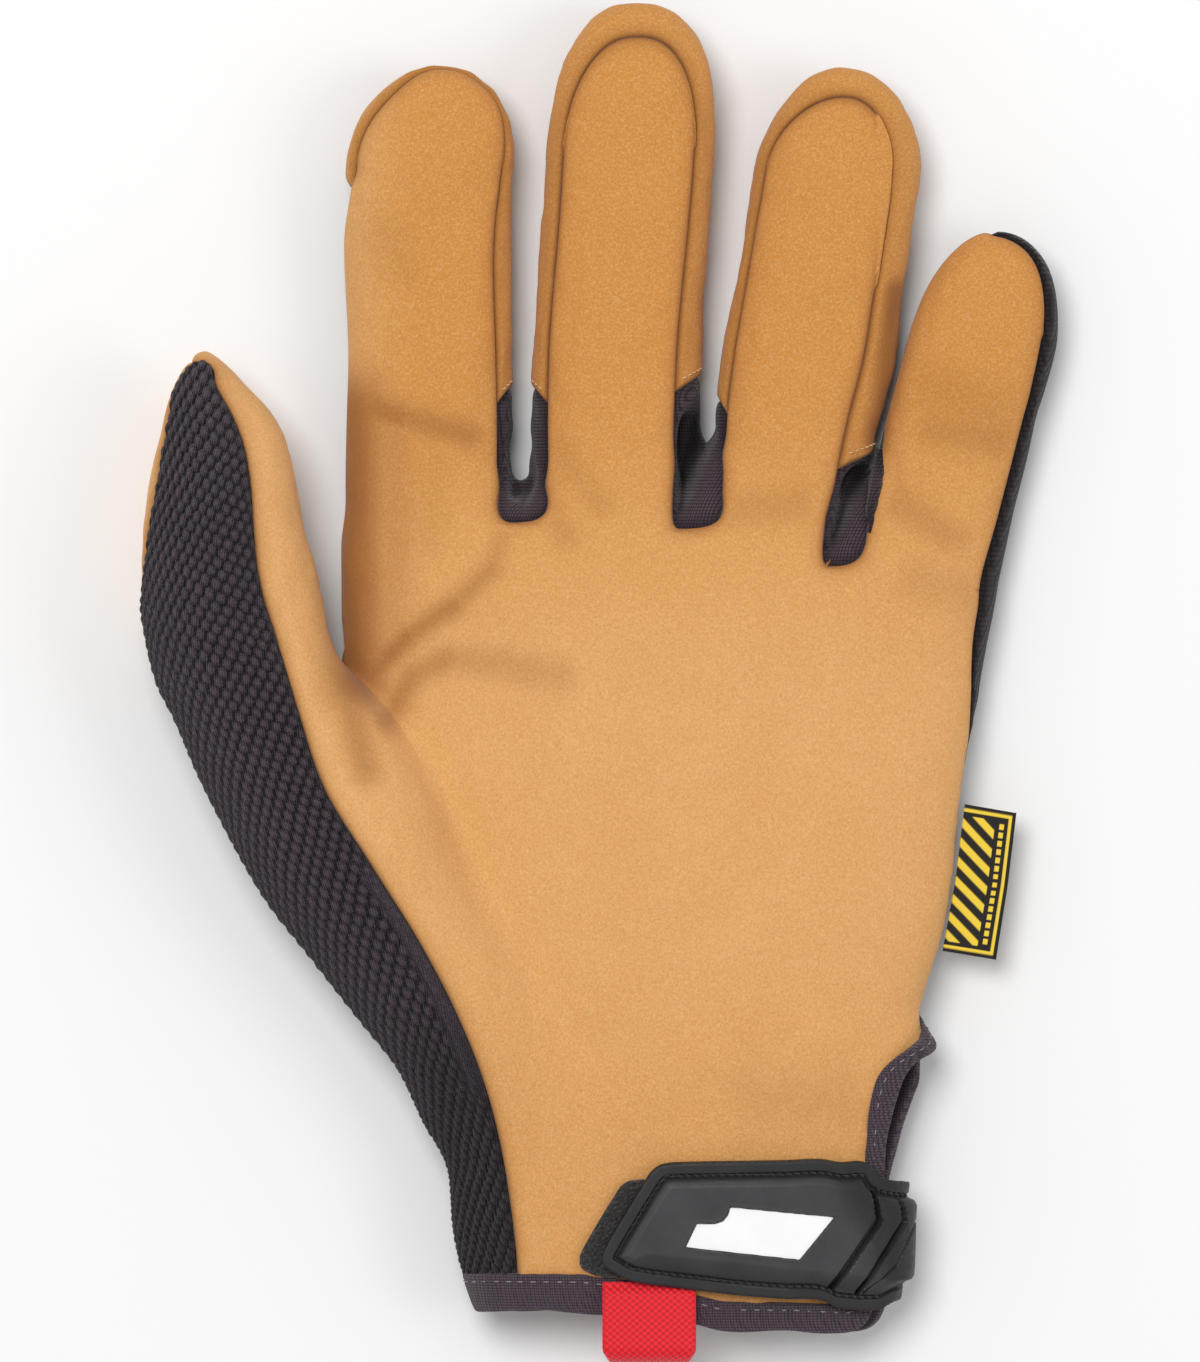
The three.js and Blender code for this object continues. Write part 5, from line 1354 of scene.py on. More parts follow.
flat = selvage * (1 - smoothstep(u, *SELVAGE_WIDTH))
stitch_line = selvage * np.exp(-(((u - LINE_AT) / LINE_WIDTH) ** 2)) * LINE_DEPTH
waffle_height = mix(WAFFLE_DEPTH * (hump - 0.5), 0.05, flat) * smoothstep(edge, -0.6, 0.9)
waffle_height = waffle_height + sewn(edge, 0.7, 1.2) - stitch_line
raised = waffle_grid + unit(outward(waffle_grid)) * waffle_height[..., None]
raised[..., 2] = np.maximum(raised[..., 2], 0.02)
waffle_mesh = mesh_of("thumb_waffle", [waffle_grid], 0.0)
# Painted shade in the seam number: the seam groove, the sewn line, and dim, darker towards the cuff and beside
# the palm low down
dim = 0.25 * smoothstep(-y_there, 5, 50) + 0.6 * smoothstep(-y_there, 52, 72) * (1 - smoothstep(u, 8, 17))
add_number(waffle_mesh, "seam", np.maximum(np.maximum(np.exp(-edge / 0.9), stitch_line * 3), dim).ravel())
add_number(waffle_mesh, "flat", (flat * 0.75).ravel())
thumb_waffle = piece("thumb_waffle", waffle_mesh, raised, ["thumb_knit_panel"], waffle_finish)
corners = np.empty(len(waffle_mesh.loops), int)
waffle_mesh.loops.foreach_get("vertex_index", corners)
lattice_map = np.stack([s_cell.ravel(), t_cell.ravel()], axis=-1)[corners]
waffle_mesh.uv_layers.new(name="lattice").data.foreach_set("uv", lattice_map.ravel())
wall(thumb_waffle, KNIT)

# %% [markdown]
# Plain suede closes the thumb below, where it lies on the floor. It reaches round to the waffle knit on one
# side and to the palm's leather on the other.

# %% Underside of the thumb
UNDER_LEATHER = 0.5  # skived thin, because the panel ends in a point

sewn_panel("thumb_underside_suede", [refine(thumb_under, 6, 3)], "thumb_underside", palm_suede_finish,
           UNDER_LEATHER, leather_height)

# %% [markdown]
# A knit tape is folded over the edge of the opening: along the cuff, up one side of the slit, round its top
# and down again. The edges of the panels' own grids, end to end, are its path, with even steps and rounded
# corners.

# %% Path of the cuff tape
TAPE_STEP = 0.2
# Widths at the cuff and at the slit, and how far it turns inwards round the slit's top
TAPE_CUFF, TAPE_SLIT, TAPE_TURN = 6.0, 3.6, 7.0


def even(path, step, closed=False):
    """A path with even steps, from its points by arc length."""
    path = np.vstack([path, path[:1]]) if closed else path
    length = np.concatenate([[0], np.cumsum(np.linalg.norm(np.diff(path, axis=0), axis=-1))])
    at = np.linspace(0, length[-1], int(length[-1] / step) + 1)
    fine = np.stack([np.interp(at, length, path[:, axis]) for axis in range(3)], axis=-1)
    return fine[:-1] if closed else fine


def smooth_round(values, width):
    """Moving average over a closed path, repeated twice."""
    for _ in range(2):
        values = sum(np.roll(values, shift, axis=0) for shift in range(-width, width + 1)) / (2 * width + 1)
    return values


slit_palm = palm_grids[4][:SLIT_ROW * DOWN, -1]
slit_back = back_grids[4][:SLIT_ROW * BACK_DOWN, -1][::-1]
cuff_palm = np.vstack([grid[0, :-1] for grid in palm_grids])
cuff_back = np.vstack([grid[0, ::-1][1:] for grid in back_grids[::-1]])
edge_path = np.vstack([cuff_palm, slit_palm, outer_grid[0], slit_back, cuff_back, waffle_grid[0, ::-1][1:-1]])
tape_path = on_skin(smooth_round(even(edge_path, TAPE_STEP, True), 5), 2)
tape_up = unit(outward(tape_path))
tape_along = unit(np.roll(tape_path, -1, axis=0) - np.roll(tape_path, 1, axis=0))
slit_top = palm_lines[5][SLIT_ROW]
in_slit = smoothstep(tape_path[:, 1], -111, -107) * smoothstep(tape_path[:, 0], 40, 46)
inwards = xyz(slit_top[0] - tape_path[:, 0], np.minimum(0, slit_top[1] - TAPE_TURN - tape_path[:, 1]),
              OUTER_MIDDLE - tape_path[:, 2])
inwards -= tape_up * (inwards * tape_up).sum(-1, keepdims=True)
tape_out = mix(np.cross(tape_along, tape_up), unit(inwards), in_slit[:, None])
tape_out = unit(smooth_round(unit(tape_out), 8))
tape_length = np.arange(len(tape_path)) * TAPE_STEP
beside_strap = smoothstep(tape_path[:, 0], 4, 20) * (1 - in_slit)
tape_width = mix(TAPE_CUFF, TAPE_SLIT, in_slit) - 1.7 * beside_strap + 0.25 * noise(tape_path, 25, 10, 41)

print("tape", round(tape_length[-1]), "mm long")

# %% [markdown]
# The tape's section is a flat band with round edges. A curve object could carry it too, but would twist where
# the skin bends. Here a ring of points follows the skin's own direction at each step, and ribs, puckers and
# the dip of the stitched line are part of the shape.

# %% Cuff tape
RIB = 0.85
# Heights of the tape over and under the skin, and how far it reaches onto the panel
TAPE_OVER, TAPE_UNDER, TAPE_LAP = 0.55, 1.95, 1.1


def squarish(v):
    """Turns the cosine and sine of a circle into those of a rounded rectangle: |v|^0.45 with v's sign."""
    return np.sign(v) * np.abs(v) ** 0.45


turn = np.linspace(0, 2 * math.pi, 33)[:-1]
section_out, section_up = squarish(np.cos(turn)), squarish(np.sin(turn))
ribs = 0.07 * np.cos(2 * math.pi * tape_length / RIB)
pucker = 0.16 * noise(tape_path, 9, 4, 42)
inner_edge = -TAPE_LAP * np.ones(len(tape_path))
half_width = (tape_width - inner_edge) / 2
half_height = (TAPE_OVER + TAPE_UNDER) / 2
out = (inner_edge + half_width)[:, None] + section_out * half_width[:, None]
rise = (TAPE_OVER - half_height) + section_up * (half_height + (ribs + pucker)[:, None])
seam_dip = np.exp(-((out - 0.3) / 0.35) ** 2) * (section_up > 0.5) * 0.18
rings = tape_path[:, None] + tape_out[:, None] * out[..., None]
rings = rings + tape_up[:, None] * (rise - seam_dip)[..., None]


def tube(name, rings, closed):
    """A mesh from rings of points that follow one another: closed into a loop, or with both ends filled."""
    count, size = rings.shape[:2]
    n = np.arange(count * size).reshape(count, size)
    after = np.roll(n, -1, axis=0) if closed else n[1:]
    first = n if closed else n[:-1]
    quads = np.stack([first, np.roll(first, -1, axis=1), np.roll(after, -1, axis=1), after], axis=-1)
    faces = quads.reshape(-1, 4).tolist()
    faces += [] if closed else [n[0, ::-1].tolist(), n[-1].tolist()]
    mesh = bpy.data.meshes.new(name)
    mesh.from_pydata(rings.reshape(-1, 3), [], faces)
    work = bmesh.new()
    work.from_mesh(mesh)
    bmesh.ops.recalc_face_normals(work, faces=work.faces)
    work.to_mesh(mesh)
    work.free()
    return mesh


tape_mesh = tube("cuff_tape", rings, True)
add_number(tape_mesh, "seam", np.zeros(len(tape_mesh.vertices)))
piece("cuff_tape_knit", tape_mesh, rings, ["cuff_tape"], tape_finish)

# %% [markdown]
# The strap is moulded rubber that follows the wrist from the palm round the outer side. A carpet of places on
# the skin, addressed by a length q along the strap and the height y, says where it lies. Bending a flat strap
# with a modifier would also work, but over a carpet its edges can be given as they are seen from above.

# %% Where the strap lies
# Guides of the carpet: x on the palm, then degrees round the outer side, each at these heights y
PALM_PLACES = np.array([-5, 0, 4, 8, 13, 19, 26, 33, 41.0])
SIDE_ANGLES = np.array([62, 48, 36, 24, 10, -8, -35, -62, -90, -118.0])
CARPET_Y = np.linspace(-83, -115, 9)
# Height over the skin at which the strap's edges are seen
STRAP_SEEN = 4.5


def over_palm(x, y, height):
    """The foot on the palm whose outward direction passes over x, y at a height."""
    foot = top_of(x, y)
    for _ in range(3):
        up = unit(outward(foot))
        foot = top_of(x - up[..., 0] * height, y - up[..., 1] * height)
    return foot


def over_side(degrees, y):
    """The foot on the outer side of the wrist, at an angle round a line inside it."""
    angle = np.radians(degrees)
    out = xyz(np.cos(angle), 0, np.sin(angle))
    return first_hit(xyz(38, y, 12) + 50 * out, -out)


carpet = np.concatenate([over_palm(PALM_PLACES[:, None], CARPET_Y, STRAP_SEEN),
                         over_side(SIDE_ANGLES[:, None], CARPET_Y)])
carpet = refine(carpet, 8, 4)
middle_line = carpet[:, carpet.shape[1] // 2]
middle_line = middle_line + unit(outward(middle_line)) * STRAP_SEEN
widest = int(np.argmax(middle_line[:, 0]))
beyond = np.cumsum(np.linalg.norm(np.diff(middle_line[widest:], axis=0), axis=-1))
carpet_q = np.concatenate([middle_line[:widest + 1, 0], middle_line[widest, 0] + beyond])


def foot_at(q, y):
    """The carpet's place at q, y: bilinear between its rows and columns, pressed onto the skin."""
    row = np.interp(q, carpet_q, np.arange(len(carpet_q)))
    column = np.interp(-y, -CARPET_Y, np.linspace(0, carpet.shape[1] - 1, len(CARPET_Y)))
    i = np.clip(row.astype(int), 0, carpet.shape[0] - 2)
    j = np.clip(column.astype(int), 0, carpet.shape[1] - 2)
    a, b = (row - i)[..., None], (column - j)[..., None]
    low = mix(carpet[i, j], carpet[i, j + 1], b)
    return on_skin(mix(low, mix(carpet[i + 1, j], carpet[i + 1, j + 1], b), a), 2)


print("strap carpet from q", carpet_q[0].round(1), "to", carpet_q[-1].round(1), "widest at",
      carpet_q[widest].round(1))

# %% [markdown]
# The strap's outline is a short table, as seen from above. The slanting grooves and the window are given by
# their corners, and distances from straight lines turn all of them into shapes.

# %% Outline of the strap
STRAP_EDGE = Table(
    "q lower upper",
    (0.5, -104.2, -103.0), (0.9, -104.9, -102.0), (1.5, -105.4, -100.9), (2.4, -105.9, -99.3),
    (4, -106.9, -96.7), (6, -107.7, -93.4), (8.4, -108.1, -89.6), (9.6, -108.3, -87.9), (11.2, -108.5, -86.8),
    (13.7, -108.8, -86.4), (25.2, -110.2, -86.2), (41.6, -111.6, -86.0), (45.7, -112.2, -85.7),
    (48.1, -112.4, -86.5), (49.7, -112.5, -88.6), (52.7, -112.4, -89.3), (56, -111.0, -89.6),
    (62, -109.3, -90.0), (76, -108.6, -90.4), (100, -107.8, -91.2),
)
FLANGE, FLANGE_ROUND, GROOVE_IN, BODY_IN, BODY_RISE = 1.6, 0.5, 2.35, 2.85, 1.5
GROOVE_DEPTH, GROOVE_WIDTH = 0.5, 0.3
# Shares of the body's rise that are steep and sloped, at its sides and its lower edge
SIDE_STEEP, SIDE_SLOPED, BELOW_STEEP, BELOW_SLOPED = 0.55, 0.45, 0.22, 0.78
SLOPE_RUN = 1.3
# Gap between skin and strap on the palm and under the back
PALM_LIFT, BACK_LIFT = 2.0, 1.0
# The relief ends where the strap turns out of sight, and the body flattens after it
RELIEF_END, BODY_END = 58, 68
BEVEL_LINE = Table("x y", (5.5, -103.6), (9, -102.6), (13, -102.9), (25.1, -104.2), (41.4, -105.9),
                   (54, -107.4))
# The scales beside the grooves rise further, over this run
SCALE_RISE, SCALE_RUN = 0.35, 5
# Slanting grooves: three corners in plan, width and depth
CHEVRONS = [((49.2, -90.6), (50.0, -96.8), (41.2, -109.6), 0.62, 1.6),
            ((53.8, -91.6), (54.4, -97.0), (46.5, -109.8), 0.48, 1.5),
            ((56.9, -96.0), (53.1, -104.8), (47.8, -109.8), 0.22, 0.5)]
# A groove's flat floor and its lips, as shares of its width
FLOOR_SHARE, LIP_SHARE = 0.55, 1.15
WINDOW = [(23.5, -94.1), (42.1, -96.0), (35.9, -103.6), (15.5, -101.3), (17.5, -97.1), (20.8, -97.1),
          (22.2, -96.6), (23.1, -95.5)]
WINDOW_SUNK, WINDOW_RECESS = 0.4, 1.0
# A raised line round the window: how far outside it, its width and its height
RIM_OUT, RIM_WIDTH, RIM_HEIGHT = 0.35, 0.2, 0.06


def segment_distance(x, y, a, b):
    """Distance from a straight line between two places."""
    dx, dy = b[0] - a[0], b[1] - a[1]
    t = np.clip(((x - a[0]) * dx + (y - a[1]) * dy) / (dx * dx + dy * dy), 0, 1)
    return np.hypot(x - a[0] - dx * t, y - a[1] - dy * t)


def polygon_distance(x, y, corners):
    """Distance from an outline, negative inside: the least distance from its sides, signed by crossings."""
    pairs = list(zip(corners, corners[1:] + corners[:1]))
    away = np.minimum.reduce([segment_distance(x, y, a, b) for a, b in pairs])
    crossings = sum(((a[1] > y) != (b[1] > y)) & (x < (b[0] - a[0]) * (y - a[1]) / (b[1] - a[1]) + a[0])
                    for a, b in pairs if a[1] != b[1])
    return np.where(crossings % 2 == 1, -away, away)


print("the window's outline has", len(WINDOW), "corners")

# %% [markdown]
# From the edge inwards come a flat flange, a sewn groove, and a raised body with a bevel along its lower
# side, a recess for the window and the three grooves. All are terms of one height over the carpet, so they
# meet without seams. Carving the grooves with booleans would leave ragged faces.

# %% Relief of the strap


def strap_lift(q):
    """Gap between the skin and the strap's underside."""
    return np.interp(q, [44, carpet_q[-1]], [PALM_LIFT, BACK_LIFT])


def strap_height(q, x, y, d):
    """Height over the strap's underside at a distance d from its edge, seen from above at x, y."""
    edge = np.clip(d, 0, FLANGE_ROUND)
    height = FLANGE - FLANGE_ROUND + np.sqrt(FLANGE_ROUND**2 - (FLANGE_ROUND - edge) ** 2)
    height = height - GROOVE_DEPTH * np.exp(-(((d - GROOVE_IN) / GROOVE_WIDTH) ** 4))
    shoulder = smoothstep(d, BODY_IN - 0.1, BODY_IN + 0.35)
    from_side = shoulder * SIDE_STEEP + SIDE_SLOPED * np.clip((d - BODY_IN) / SLOPE_RUN, 0, 1)
    low = STRAP_EDGE(q, "lower") + BODY_IN
    bevel = np.maximum(BEVEL_LINE(x) - low, 0.5)
    from_below = BELOW_STEEP + BELOW_SLOPED * np.clip((y - low) / bevel, 0, 1)
    body_rise = np.where(d > BODY_IN - 0.1, np.minimum(from_side, from_below), 0)
    in_relief = q < RELIEF_END
    scales_from = mix(41, 50, np.clip((y + 109) / 12, 0, 1))
    scales = SCALE_RISE * np.clip((x - scales_from) / SCALE_RUN, 0, 1) * in_relief
    fade = 1 - smoothstep(q, RELIEF_END + 2, BODY_END)
    height = height + (BODY_RISE + scales) * body_rise * fade
    for first, bend, last, wide, deep in CHEVRONS:
        away = np.minimum(segment_distance(x, y, first, bend) * 1.6, segment_distance(x, y, bend, last))
        cut = deep * (1 - smoothstep(away, FLOOR_SHARE * wide, LIP_SHARE * wide))
        height = height - cut * in_relief * (d > BODY_IN)
    from_window = polygon_distance(x, y, WINDOW)
    recess = 1 - smoothstep(from_window, -0.25, 0.1)
    rim_line = np.exp(-((from_window - RIM_OUT) / RIM_WIDTH) ** 2) * RIM_HEIGHT
    return height - WINDOW_RECESS * recess + rim_line


def bunched(length, step, ends=(0, 0.05, 0.12, 0.22, 0.36, 0.55, 0.8, 1.05)):
    """Places from 0 to 1 with even steps, closer together at both ends."""
    ends = np.array(ends)
    inner = np.linspace(ends[-1], length - ends[-1], int((length - 2 * ends[-1]) / step) + 2)
    return np.concatenate([ends[:-1], inner, length - ends[-2::-1]]) / length


def outline_distance(q, y, edge):
    """Distance of places from the outline that a table of lower and upper edges gives."""
    at = np.concatenate([np.linspace(edge.rows[0, 0], edge.rows[0, 0] + 14, 160),
                         np.linspace(edge.rows[0, 0] + 14, edge.rows[-1, 0], 200)[1:]])
    lower, upper = edge(at)
    start = mix(lower[0], upper[0], np.linspace(0, 1, 9))
    line = np.vstack([np.column_stack([at, lower]), np.column_stack([at, upper]),
                      np.column_stack([np.full(9, at[0]), start])])
    points = np.column_stack([q.ravel(), y.ravel()])
    return nearest(points, line).reshape(y.shape)


def strip_over(edge, q, width, step):
    """A strip between a table's edges: q, feet, outward directions and distances from the outline."""
    lower, upper = edge(q)
    y = mix(lower[:, None], upper[:, None], bunched(width, step))
    places = np.broadcast_to(q[:, None], y.shape)
    foot = foot_at(places, y)
    return places, foot, unit(outward(foot)), outline_distance(places, y, edge)


def rings_of(foot, up, top, bottom, cells):
    """Rings across a strip: heights over its feet along the top, then a coarser row back underneath."""
    under = np.linspace(0, foot.shape[1] - 1, cells).round().astype(int)[::-1]
    return np.concatenate([foot + up * top[..., None], foot[:, under] + up[:, under] * bottom], axis=1)


print("the strap is", (STRAP_EDGE(45.7, "upper") - STRAP_EDGE(45.7, "lower")).round(1), "mm at its widest")

# %% [markdown]
# The strap's grid has a row every quarter of a millimetre, which keeps the grooves crisp, and its rows crowd
# at the edges for the rounding of the flange. Deep places and the scales that turn away carry painted shade.

# %% Strap
strap_q = np.concatenate([[0.5, 0.54, 0.6, 0.68, 0.78, 0.9, 1.05], np.arange(1.25, RELIEF_END, 0.25),
                          np.linspace(RELIEF_END, carpet_q[-1] - 0.5, 30)])
strap_places, strap_foot, strap_up, strap_d = strip_over(STRAP_EDGE, strap_q, 25, 0.26)
seen = strap_foot + strap_up * STRAP_SEEN
top_height = strap_lift(strap_q)[:, None] + strap_height(strap_places, seen[..., 0], seen[..., 1], strap_d)
UNDER_CELLS = 9
strap_rings = rings_of(strap_foot, strap_up, top_height, strap_lift(strap_q)[:, None, None], UNDER_CELLS)


def rubber(name, colour, dark, low):
    """Matt rubber: wide clouds of two greys, a fine grain, and painted shade, a darker grey, where the low
    number says.
    """
    finish = Finish(name, 0.5, specular=0.35)
    grain = finish.cloud(0.25, 2)
    tint = finish.blend(finish.range(finish.cloud(6, 3), 0.3, 0.7), colour, dark)
    tint = finish.blend(finish.number("low"), tint, low)
    rough = finish.range(finish.cloud(1.2, 2), 0.3, 0.7, 0.45, 0.62)
    return finish.done(tint, grain, 0.05, 0.5, roughness=rough)


rubber_finish = rubber("strap_rubber_finish", tone(64, 63, 65), tone(55, 54, 56), tone(22, 21, 22))
strap_mesh = tube("closure_strap", strap_rings, False)
# Painted shade: the low number darkens the flange, the groove, the bevel and the scales that turn away; the
# underside is all dark
rise_over_strap = top_height - strap_lift(strap_q)[:, None]
low = np.clip((FLANGE + BODY_RISE - rise_over_strap) / 2.4, 0, 1)
low = np.maximum(low, 0.75 * smoothstep(seen[..., 0] + 0.45 * (seen[..., 1] + 100), 44, 51))
add_number(strap_mesh, "low", np.concatenate([low, np.ones((len(low), UNDER_CELLS))], axis=1).ravel())
piece("closure_strap_rubber", strap_mesh, strap_rings, ["closure_strap"], rubber_finish)
strap_mesh.set_sharp_from_angle(angle=math.radians(40))

# %% [markdown]
# The window is a thin white plate that sits a little below the rubber. The rubber covers one corner of it,
# which leaves the notch. The plate is larger than the recess, so its edges are hidden as on the real one.

# %% Window
WINDOW_PLATE = [(14.9, -101.7), (36.2, -104.1), (42.7, -95.6), (18.7, -93.3)]
a, b = np.meshgrid(np.linspace(0, 1, 41), np.linspace(0, 1, 17), indexing="ij")
corner = np.array(WINDOW_PLATE)
upper_side, lower_side = mix(corner[3], corner[2], a[..., None]), mix(corner[0], corner[1], a[..., None])
plate = mix(lower_side, upper_side, b[..., None])
plate_foot = over_palm(plate[..., 0], plate[..., 1], STRAP_SEEN)
plate_top = plate_foot + unit(outward(plate_foot)) * (PALM_LIFT + FLANGE + BODY_RISE - WINDOW_SUNK)
window_finish = Finish("window_white", 0.4, specular=0.4)
window_tint = window_finish.range(window_finish.cloud(5, 3), 0.3, 0.7, 0.94, 0.98)
window_colour = window_finish.node("CombineColor", dict.fromkeys(range(3), window_tint)).outputs[0]
window_mesh = mesh_of("id_window", [plate_top], 0.0)
window = piece("id_window_plate", window_mesh, plate_top, ["id_window"],
               window_finish.done(window_colour, window_finish.cloud(0.4, 2), 0.02, 0.4))
wall(window, 0.5)

# %% [markdown]
# Under the strap's end a patch of hook tape shows, cut to the same slant with round corners. Single hooks are
# too fine to model. Together they are a dense fuzz, so the top is rough in shape as well as in finish.

# %% Hook patch
# Heights of the tape's underside and of its base, and the hooks on it
HOOK_LIFT, HOOK_BASE, HOOKS = 0.3, 0.7, 0.45
HOOK_EDGE = Table("q lower upper", (-3.6, -105.0, -103.4), (-3.2, -105.7, -102.6), (-2.4, -106.2, -101.2),
                  (0.4, -107.2, -96.6), (2.6, -107.4, -93.2), (4.2, -107.4, -90.9), (5.6, -107.3, -90.0),
                  (8, -107.3, -89.7), (41, -106.8, -89.4))
hook_q = np.concatenate([[-3.6, -3.5, -3.36, -3.2], np.arange(-3, 14, 0.2), np.arange(14, 41, 1.5)])
hook_places, hook_foot, hook_up, hook_d = strip_over(HOOK_EDGE, hook_q, 16, 0.2)
fuzz = 0.18 * noise(hook_foot, 0.9, 0.45, 51, 40) * (hook_places < 14)
hook_top = HOOK_LIFT + HOOK_BASE + HOOKS * smoothstep(hook_d, 0, 0.5) + fuzz
hook_rings = rings_of(hook_foot, hook_up, hook_top, HOOK_LIFT, 5)
hook_finish = Finish("hook_fuzz", 0.7, sheen=0.3, specular=0.5)
# Painted glints: lighter specks of a fine cloud stand for light caught on the hooks
hook_colour = hook_finish.blend(hook_finish.range(hook_finish.cloud(0.5, 1), 0.45, 0.75), tone(20, 18, 18),
                                tone(70, 64, 60))
hook_mesh = tube("hook_patch", hook_rings, False)
piece("hook_patch_fuzz", hook_mesh, hook_rings, ["hook_patch"],
      hook_finish.done(hook_colour, hook_finish.cloud(0.3, 2), 0.3, 0.8))

# %% [markdown]
# The pull loop is red webbing, folded below the cuff. A line down its middle, with even steps, is carried
# across its width. The weave is a staggered pattern of small humps: a cosine across times a cosine along.

# %% Pull loop
LOOP_LEFT, LOOP_RIGHT, LOOP_BOTTOM, LOOP_ROOT, LOOP_INSIDE = 0.6, 17.4, -122.2, -107.7, -109.0
# Heights of its two ends over and under the palm's skin, and how far the upper one is tucked in
LOOP_ABOVE, LOOP_BELOW, LOOP_TUCK = 2.35, 4.3, 0.9
LOOP_STEP, WEBBING, HUMP_ACROSS, HUMP_ALONG, HUMP = 0.14, 1.3, 1.36, 1.16, 0.11


def sheet_of(name, grid):
    """A mesh in millimetres from one grid, which faces the side that its rows turn to from its columns."""
    n = np.arange(grid.shape[0] * grid.shape[1]).reshape(grid.shape[:2])
    quads = np.stack([n[:-1, :-1], n[1:, :-1], n[1:, 1:], n[:-1, 1:]], axis=-1).reshape(-1, 4)
    mesh = bpy.data.meshes.new(name)
    mesh.from_pydata(grid.reshape(-1, 3), [], quads)
    return mesh


loop_middle = (LOOP_LEFT + LOOP_RIGHT) / 2
loop_skin = top_of(loop_middle, LOOP_ROOT)[2]
loop_high, loop_low = loop_skin + LOOP_ABOVE, loop_skin - LOOP_BELOW
fold = (loop_high - loop_low) / 2
fold_y = LOOP_BOTTOM + fold
bend = np.linspace(math.pi / 2, -math.pi / 2, 60)
loop_line = np.vstack([
    xyz(0, np.linspace(LOOP_ROOT, fold_y, 20), loop_high)[:-1],
    xyz(0, fold_y - fold * np.cos(bend), loop_low + fold + fold * np.sin(bend)),
    xyz(0, np.linspace(fold_y, LOOP_INSIDE, 20), loop_low)[1:],
])
loop_line = even(loop_line, LOOP_STEP)
tucked = smoothstep(loop_line[:, 1], -110.2, -107.8) * (loop_line[:, 2] > loop_high - 1)
loop_line[:, 2] -= LOOP_TUCK * tucked
loop_normal = np.cross(unit(np.gradient(loop_line, axis=0)), (1, 0, 0))
loop_normal *= np.sign((loop_normal * (loop_line - (0, fold_y + 3, loop_low + fold))).sum(-1).mean())
loop_x = np.linspace(LOOP_LEFT, LOOP_RIGHT, 111)
edge_away = np.minimum(loop_x - LOOP_LEFT, LOOP_RIGHT - loop_x)
along_loop = np.arange(len(loop_line))[:, None] * LOOP_STEP
hump = HUMP * np.cos(2 * math.pi * loop_x / HUMP_ACROSS) * np.cos(2 * math.pi * along_loop / HUMP_ALONG)
loop_rise = hump * smoothstep(edge_away, 0.1, 0.6) - 0.35 * (1 - smoothstep(edge_away, 0, 0.7))
narrow = 1 - 0.11 * np.exp(-((loop_line[:, 1] - LOOP_BOTTOM) / 1.3) ** 2)
loop_across = loop_middle + (loop_x - loop_middle) * narrow[:, None]
loop_grid = loop_line[:, None] + xyz(loop_across, 0, 0) + loop_normal[:, None] * loop_rise[..., None]
webbing_finish = Finish("red_webbing_finish", 0.55, sheen=0.2, specular=0.35)
# Painted highlight and shade: the red is lighter on the crests of the weave's humps and darker between them
red = webbing_finish.blend(webbing_finish.range(webbing_finish.number("hump"), -0.8, 0.9), tone(190, 6, 24),
                           tone(252, 20, 42))
loop_mesh = sheet_of("pull_loop", loop_grid)
add_number(loop_mesh, "hump", (hump / HUMP).ravel())
pull_loop = piece("pull_loop_webbing", loop_mesh, loop_grid, ["pull_loop"],
                  webbing_finish.done(red, webbing_finish.cloud(0.2, 2), 0.05, 0.4))
wall(pull_loop, WEBBING)

# %% [markdown]
# The side label is a folded flag of woven tape: a yellow border and plain slanting stripes on black. The
# pattern is a number on a fine grid, so it needs no picture, and its threads stand a little proud.

# %% Side label
# Corners and middles of its two long edges
LABEL_LEFT = np.array([(61.9, -48.6), (64.2, -36), (65.9, -22.2)])
LABEL_RIGHT = np.array([(71.5, -50.2), (73.6, -37), (75.2, -23.8)])
# Its size, its height over the floor and its wall, then the pattern's places and pitches
LABEL_WIDTH, LABEL_LENGTH, LABEL_HEIGHT, LABEL_WALL = 9.6, 27, 10.9, 0.9
BORDER_IN, FIELD_IN, STRIPES_END, BARS_AT, BAR_HALF = 0.95, 1.9, 5.9, 7.2, 0.42
STRIPE_SLANT, STRIPE_PITCH, DASH_PITCH, WEAVE_PITCH = 0.8, 3.4, 1.5, 0.5
across_label, up_label = np.meshgrid(np.linspace(0, 1, 81), np.linspace(0, 1, 161), indexing="ij")
at = up_label[0] * 2
plan = [np.stack([np.interp(at, [0, 1, 2], side[:, axis]) for axis in (0, 1)], axis=-1)
        for side in (LABEL_LEFT, LABEL_RIGHT)]
label_plan = mix(plan[0], plan[1], across_label[..., None])
x_mm, y_mm = across_label * LABEL_WIDTH, up_label * LABEL_LENGTH
from_edge = np.minimum(np.minimum(LABEL_WIDTH - x_mm, y_mm), LABEL_LENGTH - y_mm)
border = 1 - smoothstep(np.abs(from_edge - BORDER_IN), 0.22, 0.34)
border *= (x_mm < LABEL_WIDTH - 0.6) | (from_edge > 0.6)
stripe = smoothstep(np.cos(2 * math.pi * (x_mm * STRIPE_SLANT + y_mm) / STRIPE_PITCH), -0.1, 0.25)
inside = (from_edge > FIELD_IN) & (x_mm < STRIPES_END)
dashes = np.cos(2 * math.pi * y_mm / DASH_PITCH) > -0.4
bars = (np.abs(x_mm - BARS_AT) < BAR_HALF) & (from_edge > FIELD_IN) & dashes
yellow = np.clip(border + stripe * inside + bars, 0, 1)
weave = 0.03 * np.cos(2 * math.pi * x_mm / WEAVE_PITCH) * np.cos(2 * math.pi * y_mm / WEAVE_PITCH)
curl = 0.5 * np.sin(math.pi * up_label) + 0.35 * across_label**2 * np.cos(3 * up_label)
label_rise = LABEL_HEIGHT - 0.35 + curl * 0.5 + weave + 0.07 * yellow
